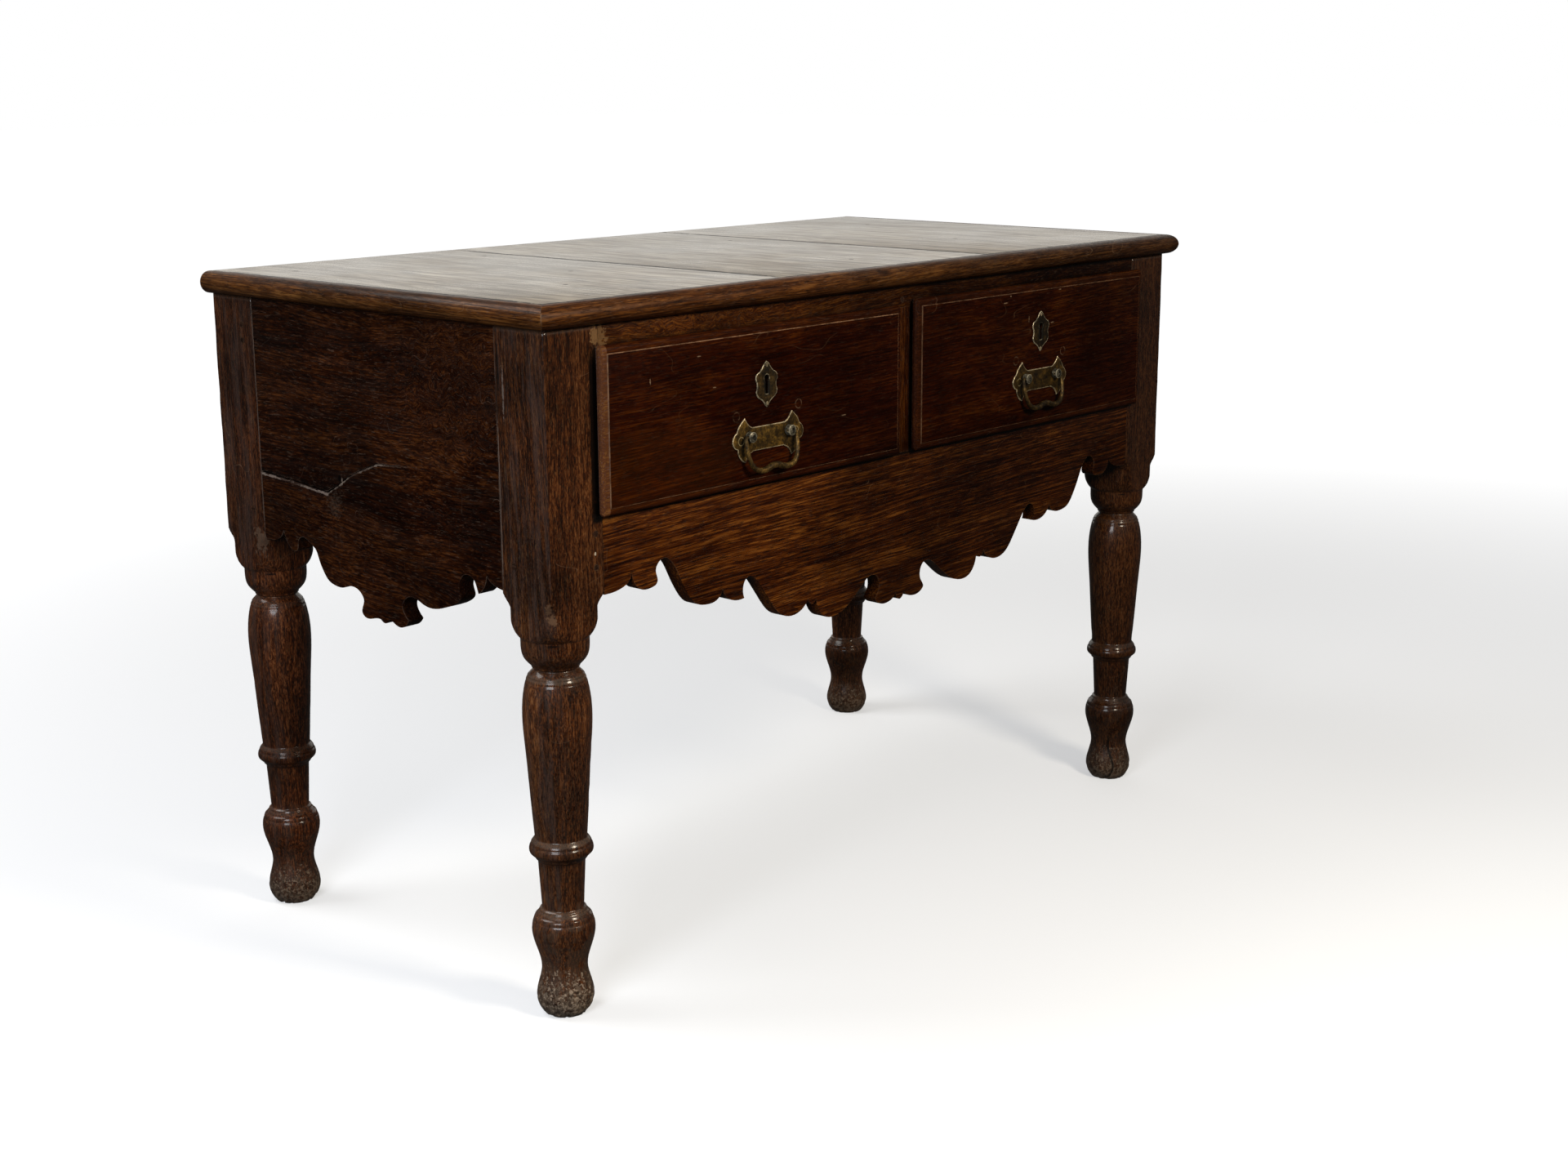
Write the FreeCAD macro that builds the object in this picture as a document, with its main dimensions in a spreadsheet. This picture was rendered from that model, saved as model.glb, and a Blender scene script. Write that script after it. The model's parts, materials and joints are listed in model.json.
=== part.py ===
"""Lowboy: a low case with two drawers side by side on four turned legs.

The frame is in millimetres, +Z up, +X to the right and the drawers facing -Y. The origin is on
the floor, below the middle of the whole piece. Joiner's order: legs, boards between them, runners,
top, then the two drawers with their locks and brasses.
"""
import FreeCAD, Part
import math
import os
from FreeCAD import Placement, Rotation, Vector

doc = FreeCAD.newDocument("lowboy")

# ---------------------------------------------------------------- driving sizes
SIZES = {
    # case
    "case_width": 1114, "case_depth": 560, "skirt_level": 459, "apron_height": 80.5,
    "opening_height": 170.5, "post_side": 74, "set_back": 1,
    # boards between the posts
    "apron_thick": 18, "side_thick": 20, "back_thick": 18,
    "rail_height": 25, "rail_depth": 40,
    "muntin_width": 44, "muntin_depth": 22,
    # scrolled lower edges
    "apron_fall": 97.5, "side_fall": 64.5,
    # tenons and pegs
    "tenon_thick": 8, "tenon_length": 30, "tenon_shoulder": 14, "board_tenon_height": 96,
    "muntin_tenon": 12, "peg_radius": 3.4, "peg_length": 38, "peg_proud": 0.4,
    "front_peg_inset": 11, "side_peg_inset": 20, "front_peg_low": 29, "front_peg_high": 64,
    "board_peg_rise": 33, "board_peg_drop": 32, "board_peg_pitch": 18, "muntin_peg_drop": 16,
    # top
    "top_thick": 25, "top_overhang": 15, "nose_width": 16, "joint_left": 205, "joint_right": 165,
    # turned leg: the radius of each part, with its level over the floor or its drop below the square
    "foot_base_r": 22.5, "foot_r": 30.8, "foot_level": 20.5,
    "waist_r": 24.5, "waist_level": 51, "ball_r": 33.8, "ball_level": 94.5,
    "ball_shoulder_r": 30.3, "ball_shoulder_level": 110.5, "ball_fillet_r": 25, "ball_top_level": 119,
    "shaft_low_r": 22.2, "shaft_high_r": 25.1, "ring_low_level": 173,
    "ring_fillet_r": 28.5, "ring_r": 34, "ring_level": 185.5, "ring_top_level": 198,
    "vase_low_r": 27.6, "vase_lower_r": 30.8, "vase_lower_drop": 219, "vase_mid_r": 33.6,
    "vase_mid_drop": 175, "vase_r": 35.7, "vase_drop": 114, "vase_shoulder_r": 30.2,
    "vase_shoulder_drop": 86.6, "neck_r": 23, "neck_drop": 79.4,
    "neck_fillet_r": 25.2, "neck_fillet_drop": 75.8,
    "cup_r": 35.7, "cup_drop": 52, "cup_top_drop": 45.5,
    "pommel_r": 44.5, "pommel_low_drop": 28, "pommel_top_drop": 14, "square_rise": 2,
    "scribe_depth": 0.9,
    # drawer supports
    "runner_thick": 22, "runner_reach": 27, "centre_runner_width": 98, "guide_height": 20,
    "kicker_width": 70, "kicker_gap": 4, "block_leg": 28, "block_length": 90, "block_inset": 210,
    # drawers
    "lip_side": 8, "lip_top_left": 4, "lip_top_right": 9, "lip_thick": 11, "lip_round": 6,
    "field_inset": 8.5, "field_rise": 1, "front_inner": 14, "drawer_play": 1.5, "rest_gap": 0.3,
    "drawer_back_room": 36, "drawer_side_thick": 10, "drawer_side_drop": 5, "drawer_back_thick": 12,
    "drawer_back_drop": 12, "bottom_thick": 8, "bottom_rise": 9, "bottom_groove": 5,
    "tail_length": 11, "tail_count": 3, "tail_gap": 14, "tail_flare": 5,
    "nail_radius": 1.3, "nail_length": 20, "nail_spread": 128,
    # lock
    "lock_width": 74, "lock_height": 76, "lock_thick": 9, "bolt_width": 28,
    "bolt_thick": 4.5, "bolt_height": 26, "bolt_throw": 8, "bolt_play": 0.4, "key_pin_r": 1.6,
    "lock_shift_left": 3.5, "lock_shift_right": 7,
    "keyhole_r": 3.9, "keyhole_slot": 4.8, "keyhole_height": 21,
    # brasses
    "plate_half": 57, "plate_rise": 21, "plate_drop": 28, "plate_thick": 1.3,
    "plate_bevel": 0.5, "handle_shift_left": 6, "handle_shift_right": 7,
    "handle_level_left": 56, "handle_level_right": 63.5,
    "post_half": 31.6, "head_r": 5.8, "head_height": 7.4, "head_rim": 3, "neck_waist_r": 4.4,
    "dimple_r": 1.6, "pivot_rise": 3.6, "shank_r": 2.2, "shank_play": 0.15, "shank_out": 9,
    "nut_side": 10, "nut_thick": 4,
    "bail_half": 40.4, "bail_gap": 0.3, "bail_drop": 37.5, "bail_middle_drop": 34, "bail_lobe": 22,
    "bail_lean": 6, "bail_pin_r": 1.9, "bail_arm_r": 2.2, "bail_grip_r": 3.6, "pivot_play": 0.06,
    "bail_pin_inset": 4.5,
    "escutcheon_half": 17.5, "escutcheon_half_height": 25.3, "escutcheon_drop_left": 58.7,
    "escutcheon_drop_right": 49.2,
    "escutcheon_thick": 1.2, "escutcheon_pin_r": 1.1, "escutcheon_pin_inset": 4.5,
    "escutcheon_pin_length": 8,
}

# Sizes that follow from the driving ones, as formulas in the same sheet.
DERIVED = {
    "half_width": "case_width / 2",
    "opening_low": "skirt_level + apron_height",
    "opening_high": "opening_low + opening_height",
    "case_height": "opening_high + rail_height",
    "square_level": "skirt_level + square_rise",
    "vase_lower_level": "square_level - vase_lower_drop",
    "vase_mid_level": "square_level - vase_mid_drop",
    "vase_level": "square_level - vase_drop",
    "vase_shoulder_level": "square_level - vase_shoulder_drop",
    "neck_level": "square_level - neck_drop",
    "neck_fillet_level": "square_level - neck_fillet_drop",
    "cup_level": "square_level - cup_drop",
    "cup_top_level": "square_level - cup_top_drop",
    "pommel_low_level": "square_level - pommel_low_drop",
    "pommel_top_level": "square_level - pommel_top_drop",
    "face_proud": "lip_thick + field_rise",
    "reach": "face_proud + plate_thick + pivot_rise + bail_lean + bail_grip_r",
    "front_y": "-(case_depth - reach) / 2",
    "back_y": "front_y + case_depth",
    "inner_x": "half_width - post_side",
    "inner_front_y": "front_y + post_side",
    "inner_back_y": "back_y - post_side",
    "post_x": "half_width - post_side / 2",
    "opening_x": "muntin_width / 2",
    "apron_back_y": "front_y + set_back + apron_thick",
    "back_front_y": "back_y - set_back - back_thick",
    "side_inner_x": "half_width - set_back - side_thick",
    "top_z": "case_height + top_thick",
    "nose_x": "half_width + top_overhang",
    "nose_y": "front_y - top_overhang",
    "tenon_front_y": "front_y + set_back + (apron_thick - tenon_thick) / 2",
    "tenon_side_x": "half_width - set_back - (side_thick + tenon_thick) / 2",
    "tenon_back_y": "back_y - set_back - (back_thick + tenon_thick) / 2",
    "drawer_in_x": "opening_x + drawer_play",
    "drawer_out_x": "inner_x - drawer_play",
    "drawer_mid_x": "(opening_x + inner_x) / 2",
    "drawer_low": "opening_low + rest_gap",
    "drawer_high": "opening_high - drawer_play",
    "side_high": "drawer_high - drawer_side_drop",
    "lip_low": "drawer_low",
    "lip_high_left": "opening_high + lip_top_left",
    "lip_high_right": "opening_high + lip_top_right",
    "lip_in_x": "opening_x - lip_side",
    "lip_out_x": "inner_x + lip_side",
    "face_y": "front_y - face_proud",
    "front_back_y": "front_y + front_inner",
    "drawer_end_y": "back_front_y - drawer_back_room",
    "bottom_low": "drawer_low + bottom_rise",
    "bottom_high": "bottom_low + bottom_thick",
    "plate_y": "face_y - plate_thick",
    "handle_x_left": "handle_shift_left - drawer_mid_x",
    "handle_x_right": "handle_shift_right + drawer_mid_x",
    "handle_z_left": "lip_low + handle_level_left",
    "handle_z_right": "lip_low + handle_level_right",
    "pivot_y": "plate_y - pivot_rise",
    "lock_x_left": "lock_shift_left - drawer_mid_x",
    "lock_x_right": "lock_shift_right + drawer_mid_x",
    "escutcheon_z_left": "drawer_high - escutcheon_drop_left",
    "escutcheon_z_right": "drawer_high - escutcheon_drop_right",
    "escutcheon_y": "face_y - escutcheon_thick",
    "lock_low": "drawer_high - lock_height",
    "lock_front_y": "front_back_y - lock_thick",
    "bolt_front_y": "front_back_y - (lock_thick + bolt_thick) / 2",
    "pin_radius_hole": "bail_pin_r + pivot_play",
    "shank_hole_r": "shank_r + shank_play",
}

sheet = doc.addObject("Spreadsheet::Sheet", "sizes")
ENTRIES = [(name, str(value)) for name, value in SIZES.items()]
ENTRIES += [(name, "=" + formula) for name, formula in DERIVED.items()]
for row, (name, content) in enumerate(ENTRIES, start=1):
    sheet.set("A%d" % row, name)
    sheet.set("B%d" % row, content)
    sheet.setAlias("B%d" % row, name)
doc.recompute()

nodes = []


def size(name):
    """The value of one sheet cell, as a plain number."""
    return float(getattr(sheet, name))


def bound(formula):
    """A formula of sheet aliases, written so that an object's property can follow it."""
    words, word = [], ""
    for letter in formula + " ":
        if letter.isalnum() or letter == "_":
            word += letter
            continue
        words.append("sizes." + word if word[:1].isalpha() else word)
        words.append(letter)
        word = ""
    return "".join(words).strip()


def bind(thing, **properties):
    """Tie properties to formulas; a doubled underscore stands for the dot in a property's path."""
    for path, formula in properties.items():
        thing.setExpression(path.replace("__", "."), bound(formula))


def place(thing, x="0", y="0", z="0"):
    bind(thing, Placement__Base__x=x, Placement__Base__y=y, Placement__Base__z=z)


def keep(thing, name):
    """Name a finished sub-part, which becomes one node of the assembly."""
    thing.Label = name
    nodes.append(thing)
    return thing


# ---------------------------------------------------------------- shapes used by several sub-parts
def block(name, x, y, z):
    """A straight block between two formulas along each axis."""
    box = doc.addObject("Part::Box", name)
    bind(box, Length="(%s) - (%s)" % (x[1], x[0]), Width="(%s) - (%s)" % (y[1], y[0]),
         Height="(%s) - (%s)" % (z[1], z[0]))
    place(box, x[0], y[0], z[0])
    return box


ALONG = {"x": Rotation(Vector(0, 1, 0), 90), "y": Rotation(Vector(1, 0, 0), -90), "z": Rotation()}


def pin(name, radius, length, start, axis):
    """A round pin of one radius, from its start along +X, +Y or +Z."""
    rod = doc.addObject("Part::Cylinder", name)
    bind(rod, Radius=radius, Height=length)
    rod.Placement = Placement(Vector(), ALONG[axis])
    place(rod, *start)
    return rod


def join(name, pieces):
    """Several solids glued into one."""
    whole = doc.addObject("Part::MultiFuse", name)
    whole.Shapes = pieces
    return whole


def group(name, pieces):
    """Several like solids that stay apart but share one node."""
    whole = doc.addObject("Part::Compound", name)
    whole.Links = pieces
    return whole


def carve(name, base, tools):
    """A solid less all its tools."""
    cut = doc.addObject("Part::Cut", name)
    cut.Base = base
    cut.Tool = tools[0] if len(tools) == 1 else group(name + "_tools", tools)
    return cut


def across(side, near, far):
    """A span measured outward from the middle, on the left (-1) or right (+1) side."""
    return (near, far) if side > 0 else ("-(%s)" % far, "-(%s)" % near)


def offset(side, distance):
    return distance if side > 0 else "-(%s)" % distance


def beside(middle, side, distance):
    """A place to the left or right of a middle."""
    return "%s %s (%s)" % (middle, "+" if side > 0 else "-", distance)


def plane(body, role):
    return next(item for item in body.Origin.OriginFeatures if item.Role == role)


def sketch(body, role, stretches):
    """A closed outline: each stretch is a line, an arc of three points or a smooth curve."""
    drawing = body.newObject("Sketcher::SketchObject", body.Name + "_outline")
    drawing.AttachmentSupport = (plane(body, role), [""])
    drawing.MapMode = "FlatFace"
    for stretch in stretches:
        points = [Vector(*point, 0) for point in stretch if point != "arc"]
        if stretch[0] == "arc":
            drawing.addGeometry(Part.Arc(*points))
        elif len(points) == 2:
            drawing.addGeometry(Part.LineSegment(*points))
        else:
            curve = Part.BSplineCurve()
            curve.interpolate(points)
            drawing.addGeometry(curve)
    return drawing


def cut_out(name, role, stretches, thick):
    """A flat piece sawn to an outline, as a body of one pad towards +X or +Y."""
    body = doc.addObject("PartDesign::Body", name)
    pad = body.newObject("PartDesign::Pad", name + "_pad")
    pad.Profile = sketch(body, role, stretches)
    pad.Reversed = role == "XZ_Plane"
    bind(pad, Length=thick)
    return body


# ---------------------------------------------------------------- turned legs
def turning():
    """Radius and height along the leg from the floor up to the square, in stretches."""
    def at(radius, level, out=0, up=0):
        return (size(radius) + out, size(level) + up)

    scribe = size("scribe_depth")
    base = size("foot_base_r")
    corner = size("post_side")
    fillet = (size("ball_top_level") - size("ball_shoulder_level")) / 3
    bead = (size("ring_top_level") - size("ring_level")) / 2
    marks = [
        [(base, -scribe), (base, 0)],
        [(base, 0), at("foot_r", "foot_level"), at("waist_r", "waist_level"),
         at("ball_r", "ball_level"), at("ball_shoulder_r", "ball_shoulder_level")],
        [at("ball_shoulder_r", "ball_shoulder_level", -scribe, scribe)],
        [at("ball_fillet_r", "ball_top_level", 0, -fillet)],
        [at("ball_fillet_r", "ball_top_level", 0, -scribe)],
        [at("shaft_low_r", "ball_top_level")],
        [at("shaft_high_r", "ring_low_level")],
        [at("ring_fillet_r", "ring_low_level", -scribe, 2 * scribe)],
        [at("ring_fillet_r", "ring_low_level", 0, bead - scribe)],
        [at("ring_fillet_r", "ring_low_level", scribe, bead - scribe),
         at("ring_r", "ring_level", -scribe, -bead * 0.7), at("ring_r", "ring_level"),
         at("ring_r", "ring_level", -2 * scribe, bead), at("vase_low_r", "ring_top_level")],
        [at("vase_low_r", "ring_top_level"), at("vase_lower_r", "vase_lower_level"),
         at("vase_mid_r", "vase_mid_level"), at("vase_r", "vase_level"),
         at("vase_shoulder_r", "vase_shoulder_level")],
        [at("vase_shoulder_r", "vase_shoulder_level", -scribe, scribe)],
        [at("neck_fillet_r", "neck_level", -scribe, -scribe)],
        [at("neck_r", "neck_level")],
        [at("neck_r", "neck_level", 0, scribe)],
        [at("neck_fillet_r", "neck_level", 0, 2 * scribe)],
        [at("neck_fillet_r", "neck_fillet_level")],
        [at("neck_fillet_r", "neck_fillet_level", scribe, scribe),
         at("cup_r", "neck_fillet_level", -3 * scribe, 10 * scribe), at("cup_r", "cup_level"),
         at("cup_r", "cup_top_level")],
        [at("cup_r", "cup_top_level", scribe, scribe / 2)],
        [at("cup_r", "cup_top_level", scribe, scribe / 2),
         at("pommel_r", "cup_top_level", -4 * scribe, 7 * scribe),
         at("pommel_r", "pommel_low_level")],
        [at("pommel_r", "pommel_top_level")],
        [at("pommel_r", "pommel_top_level"), at("pommel_r", "pommel_top_level", 3 * scribe, 7 * scribe),
         (corner * 0.72, size("square_level"))],
        [(corner, size("square_level"))],
        [(corner, -scribe)],
        [(base, -scribe)],
    ]
    stretches, last = [], marks[0][0]
    for mark in marks:
        stretches.append(mark if mark[0] == last else [last] + mark)
        last = mark[-1]
    return stretches


def leg(name, side, end_y, cutters):
    """One square post, turned below the case: a pad of the stock, then a groove of the waste."""
    body = doc.addObject("PartDesign::Body", name + "_turned")
    stock = body.newObject("Sketcher::SketchObject", name + "_stock")
    stock.AttachmentSupport = (plane(body, "XY_Plane"), [""])
    stock.MapMode = "FlatFace"
    half = size("post_side") / 2
    corners = [Vector(-half, -half, 0), Vector(half, -half, 0), Vector(half, half, 0),
               Vector(-half, half, 0)]
    for index, corner in enumerate(corners):
        stock.addGeometry(Part.LineSegment(corner, corners[(index + 1) % 4]))
    pad = body.newObject("PartDesign::Pad", name + "_pad")
    pad.Profile = stock
    bind(pad, Length="case_height")
    groove = body.newObject("PartDesign::Groove", name + "_groove")
    groove.Profile = sketch(body, "XZ_Plane", turning())
    groove.ReferenceAxis = (plane(body, "Z_Axis"), [""])
    groove.Angle = 360
    body.Tip = groove
    place(body, offset(side, "post_x"), end_y)
    return keep(carve(name, body, cutters), name)


# ---------------------------------------------------------------- boards of the case
# Half of the scrolled edge of the front board, from the middle out to the post: each point is its
# share of the half span and of the fall, in percent; a new row starts at each cusp.
FRONT_SCROLL = [
    [(0, 100), (0.9, 98), (1.6, 91)],
    [(1.6, 91), (2.9, 97), (5.2, 100), (7.7, 98.5), (9.4, 91.5), (8.4, 83), (8, 73), (8.9, 63.5),
     (11.1, 60), (13.7, 66), (17, 79), (21, 92), (25, 97.5), (28.6, 94), (30.5, 84.5), (31.4, 70)],
    [(31.4, 70), (32.2, 74), (33, 75), (33.8, 73), (34.4, 67)],
    [(34.4, 67), (35.5, 74.5), (37.6, 80.5), (40.5, 82.5), (44, 77), (47.1, 61.5), (50.4, 39.5),
     (52.7, 26.5), (54.6, 22), (56.1, 26), (56.8, 34), (56.4, 46)],
    [(56.4, 46), (58.9, 46.5), (61.4, 42.5), (62.9, 36), (63.5, 24)],
    [(63.5, 24), (64.3, 36), (66, 41), (68.7, 42), (72, 38), (74.7, 24), (77, 5), (79.3, -14.5),
     (81.8, -22.5), (83.7, -18.5), (84.5, -10), (84, 0), (84.7, 5.5)],
    [(84.7, 5.5), (86.6, 7.5), (88.8, 6.5), (90.7, -0.5), (91.7, -16)],
    [(91.7, -16), (92.9, -5), (95.2, 0), (98, 2), (100, 2)],
]
# The side boards, the same way, from the middle towards the back post and towards the front post.
SIDE_SCROLL_BACK = [
    [(-0.5, 94.5), (3, 94.5), (8.7, 98.5), (13, 97.5), (15.3, 91), (14.8, 80.5), (13.5, 68.5),
     (15.2, 58.5), (19.5, 50.5), (24.5, 49.5), (31.4, 55.5), (38.2, 55), (43.9, 48.5), (47.9, 35),
     (51.1, 18), (54.1, -1), (59, -10.5), (65.4, -18), (69.5, -8.5), (70.1, 2.5), (75.2, 10.5)],
    [(75.2, 10.5), (79.5, -1), (82.6, -22)],
    [(82.6, -22), (86, -8), (91.5, -1.5), (100, 0)],
]
SIDE_SCROLL_FRONT = [
    [(-0.5, 94.5), (3.8, 99.5), (7.9, 90)],
    [(7.9, 90), (11.5, 95), (15.5, 99.5), (19.3, 98), (21.8, 93.5), (24.2, 84.5)],
    [(24.2, 84.5), (20.9, 74), (19.4, 62.5), (21.7, 49), (26.3, 42), (31.6, 43.5), (36.2, 49),
     (41.4, 52.5), (47.4, 51.5), (56.7, 43), (64, 33), (67.4, 21.5), (66.1, 7.5), (67.3, -7),
     (70.7, -18), (74.6, -18.5), (78.2, -12.5), (79.9, -2.5), (81.2, 8.5)],
    [(81.2, 8.5), (85, -1), (88.1, -24)],
    [(88.1, -24), (90.2, -17), (94.5, -10.5), (100, -7)],
]


def scroll(rows, direction, half_span, fall):
    """Set a scroll table out in millimetres, in one direction from the middle."""
    return [[(direction * half_span * share / 100, -fall * drop / 100) for share, drop in row]
            for row in rows]


def turn_round(rows):
    return [list(reversed(row)) for row in reversed(rows)]


def closed_board(lower, height):
    """The outline of a board from its scrolled lower edge and its straight ends and top."""
    first, last = lower[0][0], lower[-1][-1]
    corners = [last, (last[0], height), (first[0], height), first]
    return lower + [corners[index:index + 2] for index in range(3)]


def tenon(name, side, z_low, z_high, kind):
    """A tenon at the end of a board: into the post's inner face from the front, side or back."""
    if kind == "side_front":
        y = ("inner_front_y - tenon_length", "inner_front_y")
    elif kind == "side_back":
        y = ("inner_back_y", "inner_back_y + tenon_length")
    else:
        start = "tenon_front_y" if kind == "front" else "tenon_back_y"
        return block(name, across(side, "inner_x", "inner_x + tenon_length"),
                     (start, start + " + tenon_thick"), (z_low, z_high))
    return block(name, across(side, "tenon_side_x", "tenon_side_x + tenon_thick"), y, (z_low, z_high))


def board_tenons(name, side, kind):
    """The lower and upper tenon of a deep side or back board."""
    low = tenon(name + "_low", side, "skirt_level + tenon_shoulder",
                "skirt_level + tenon_shoulder + board_tenon_height", kind)
    high = tenon(name + "_high", side, "case_height - tenon_shoulder - board_tenon_height",
                 "case_height - tenon_shoulder", kind)
    return [low, high]


FRONT_PEG_LEVELS = ("skirt_level + front_peg_low", "skirt_level + front_peg_high")
BOARD_PEG_LEVELS = ("skirt_level + board_peg_rise", "case_height - board_peg_drop",
                    "case_height - board_peg_drop - board_peg_pitch")


def peg(name, x, y, z, axis):
    return pin(name, "peg_radius", "peg_length", (x, y, z), axis)


def front_pegs(side):
    """Pegs through the front of a post into the front board's tenon."""
    return [peg("peg_front_%s_%d" % (NAMES[side], index), offset(side, "inner_x + front_peg_inset"),
                "front_y - peg_proud", level, "y") for index, level in enumerate(FRONT_PEG_LEVELS)]


def back_pegs(side):
    return [peg("peg_back_%s_%d" % (NAMES[side], index), offset(side, "inner_x + side_peg_inset"),
                "back_y + peg_proud - peg_length", level, "y")
            for index, level in enumerate(BOARD_PEG_LEVELS[:2])]


def side_pegs(side, end):
    """Pegs through the outer face of a post into the side board's tenons."""
    y = "inner_%s_y %s side_peg_inset" % (end, "-" if end == "front" else "+")
    start = "half_width + peg_proud - peg_length" if side > 0 else "-(half_width + peg_proud)"
    levels = BOARD_PEG_LEVELS[:1] if end == "front" else BOARD_PEG_LEVELS
    return [peg("peg_%s_%s_%d" % (NAMES[side], end, index), start, y, level, "x")
            for index, level in enumerate(levels)]


NAMES = {-1: "left", 1: "right"}
SIDES = (-1, 1)
apron_tenons = {side: tenon("apron_tenon_" + NAMES[side], side, "skirt_level + tenon_shoulder",
                            "opening_low - tenon_shoulder / 2", "front") for side in SIDES}
rail_tenons = {side: tenon("rail_tenon_" + NAMES[side], side, "opening_high + tenon_shoulder / 3",
                           "case_height - tenon_shoulder / 3", "front") for side in SIDES}
side_tenons = {(side, end): board_tenons("tenon_%s_%s" % (NAMES[side], end), side, "side_" + end)
               for side in SIDES for end in ("front", "back")}
back_tenons = {side: board_tenons("back_tenon_" + NAMES[side], side, "back") for side in SIDES}
pegs_of = {(side, end): side_pegs(side, end) for side in SIDES for end in ("front", "back")}
pegs_front = {side: front_pegs(side) for side in SIDES}
pegs_back = {side: back_pegs(side) for side in SIDES}
muntin_peg = peg("peg_muntin", "0", "front_y + set_back - peg_proud",
                 "case_height - muntin_peg_drop", "y")

for side in SIDES:
    leg("leg_front_" + NAMES[side], side, "front_y + post_side / 2",
        [apron_tenons[side], rail_tenons[side]] + side_tenons[side, "front"] + pegs_front[side]
        + pegs_of[side, "front"])
    leg("leg_back_" + NAMES[side], side, "back_y - post_side / 2",
        side_tenons[side, "back"] + back_tenons[side] + pegs_back[side] + pegs_of[side, "back"])

FRONT_FACE = "front_y + set_back"
muntin_y = (FRONT_FACE, "front_y + set_back + muntin_depth")
muntin_tenon_y = ("tenon_front_y", "tenon_front_y + tenon_thick")
muntin_x = ("-opening_x", "opening_x")
muntin_body = block("muntin_body", muntin_x, muntin_y, ("opening_low", "opening_high"))
muntin_tenon_x = ("-opening_x + tenon_shoulder / 2", "opening_x - tenon_shoulder / 2")
muntin_foot = block("muntin_foot", muntin_tenon_x, muntin_tenon_y,
                    ("opening_low - muntin_tenon", "opening_low"))
muntin_head = block("muntin_head", muntin_tenon_x, muntin_tenon_y,
                    ("opening_high", "opening_high + muntin_tenon"))
keep(carve("muntin", join("muntin_joined", [muntin_body, muntin_foot, muntin_head]), [muntin_peg]),
     "muntin")

half_span = size("inner_x")
front_edge = scroll(FRONT_SCROLL, 1, half_span, size("apron_fall"))
front_edge = turn_round(scroll(FRONT_SCROLL, -1, half_span, size("apron_fall"))) + front_edge
apron_outline = closed_board(front_edge, size("apron_height"))
apron = cut_out("apron_sawn", "XZ_Plane", apron_outline, "apron_thick")
place(apron, "0", FRONT_FACE, "skirt_level")
apron_whole = join("apron_joined", [apron] + [apron_tenons[side] for side in SIDES])
keep(carve("front_apron", apron_whole, [muntin_foot] + pegs_front[-1] + pegs_front[1]),
     "front_apron")

back_body = block("back_sawn", ("-inner_x", "inner_x"), ("back_front_y", "back_y - set_back"),
                  ("skirt_level", "case_height"))
back_whole = join("back_joined", [back_body] + back_tenons[-1] + back_tenons[1])
keep(carve("back_board", back_whole, pegs_back[-1] + pegs_back[1]), "back_board")

side_span = (size("inner_back_y") - size("inner_front_y")) / 2
side_edge = turn_round(scroll(SIDE_SCROLL_FRONT, -1, side_span, size("side_fall")))
side_edge[-1][-1] = scroll(SIDE_SCROLL_BACK, 1, side_span, size("side_fall"))[0][0]
side_edge += scroll(SIDE_SCROLL_BACK, 1, side_span, size("side_fall"))
side_height = size("case_height") - size("skirt_level")
for side in SIDES:
    name = "side_board_" + NAMES[side]
    sawn = cut_out(name + "_sawn", "YZ_Plane", closed_board(side_edge, side_height), "side_thick")
    place(sawn, across(side, "side_inner_x", "half_width - set_back")[0],
          "(inner_front_y + inner_back_y) / 2", "skirt_level")
    tenons = side_tenons[side, "front"] + side_tenons[side, "back"]
    whole = join(name + "_joined", [sawn] + tenons)
    keep(carve(name, whole, pegs_of[side, "front"] + pegs_of[side, "back"]), name)

# ---------------------------------------------------------------- lock bolts and the front rail
BOLT_Y = ("bolt_front_y", "bolt_front_y + bolt_thick")
BOLT_SLOT_Y = ("bolt_front_y - bolt_play", "bolt_front_y + bolt_thick + bolt_play")


def about(middle, half):
    return ("%s - (%s)" % (middle, half), "%s + %s" % (middle, half))


BOLT_SLOT_X = {side: about("lock_x_" + NAMES[side], "bolt_width / 2 + bolt_play") for side in SIDES}
bolt_mortises = [block("bolt_mortise_" + NAMES[side], BOLT_SLOT_X[side], BOLT_SLOT_Y,
                       ("opening_high", "opening_high + bolt_throw + bolt_play")) for side in SIDES]
rail_body = block("rail_body", ("-inner_x", "inner_x"), (FRONT_FACE, "front_y + rail_depth"),
                  ("opening_high", "case_height"))
rail_whole = join("rail_joined", [rail_body] + [rail_tenons[side] for side in SIDES])
keep(carve("front_rail", rail_whole, bolt_mortises + [muntin_head, muntin_peg]), "front_rail")

# ---------------------------------------------------------------- pegs
keep(group("pegs_front", pegs_front[-1] + pegs_front[1] + [muntin_peg]), "pegs_front")
keep(group("pegs_back", pegs_back[-1] + pegs_back[1]), "pegs_back")
for side in SIDES:
    name = "pegs_" + NAMES[side]
    keep(group(name, pegs_of[side, "front"] + pegs_of[side, "back"]), name)

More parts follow.
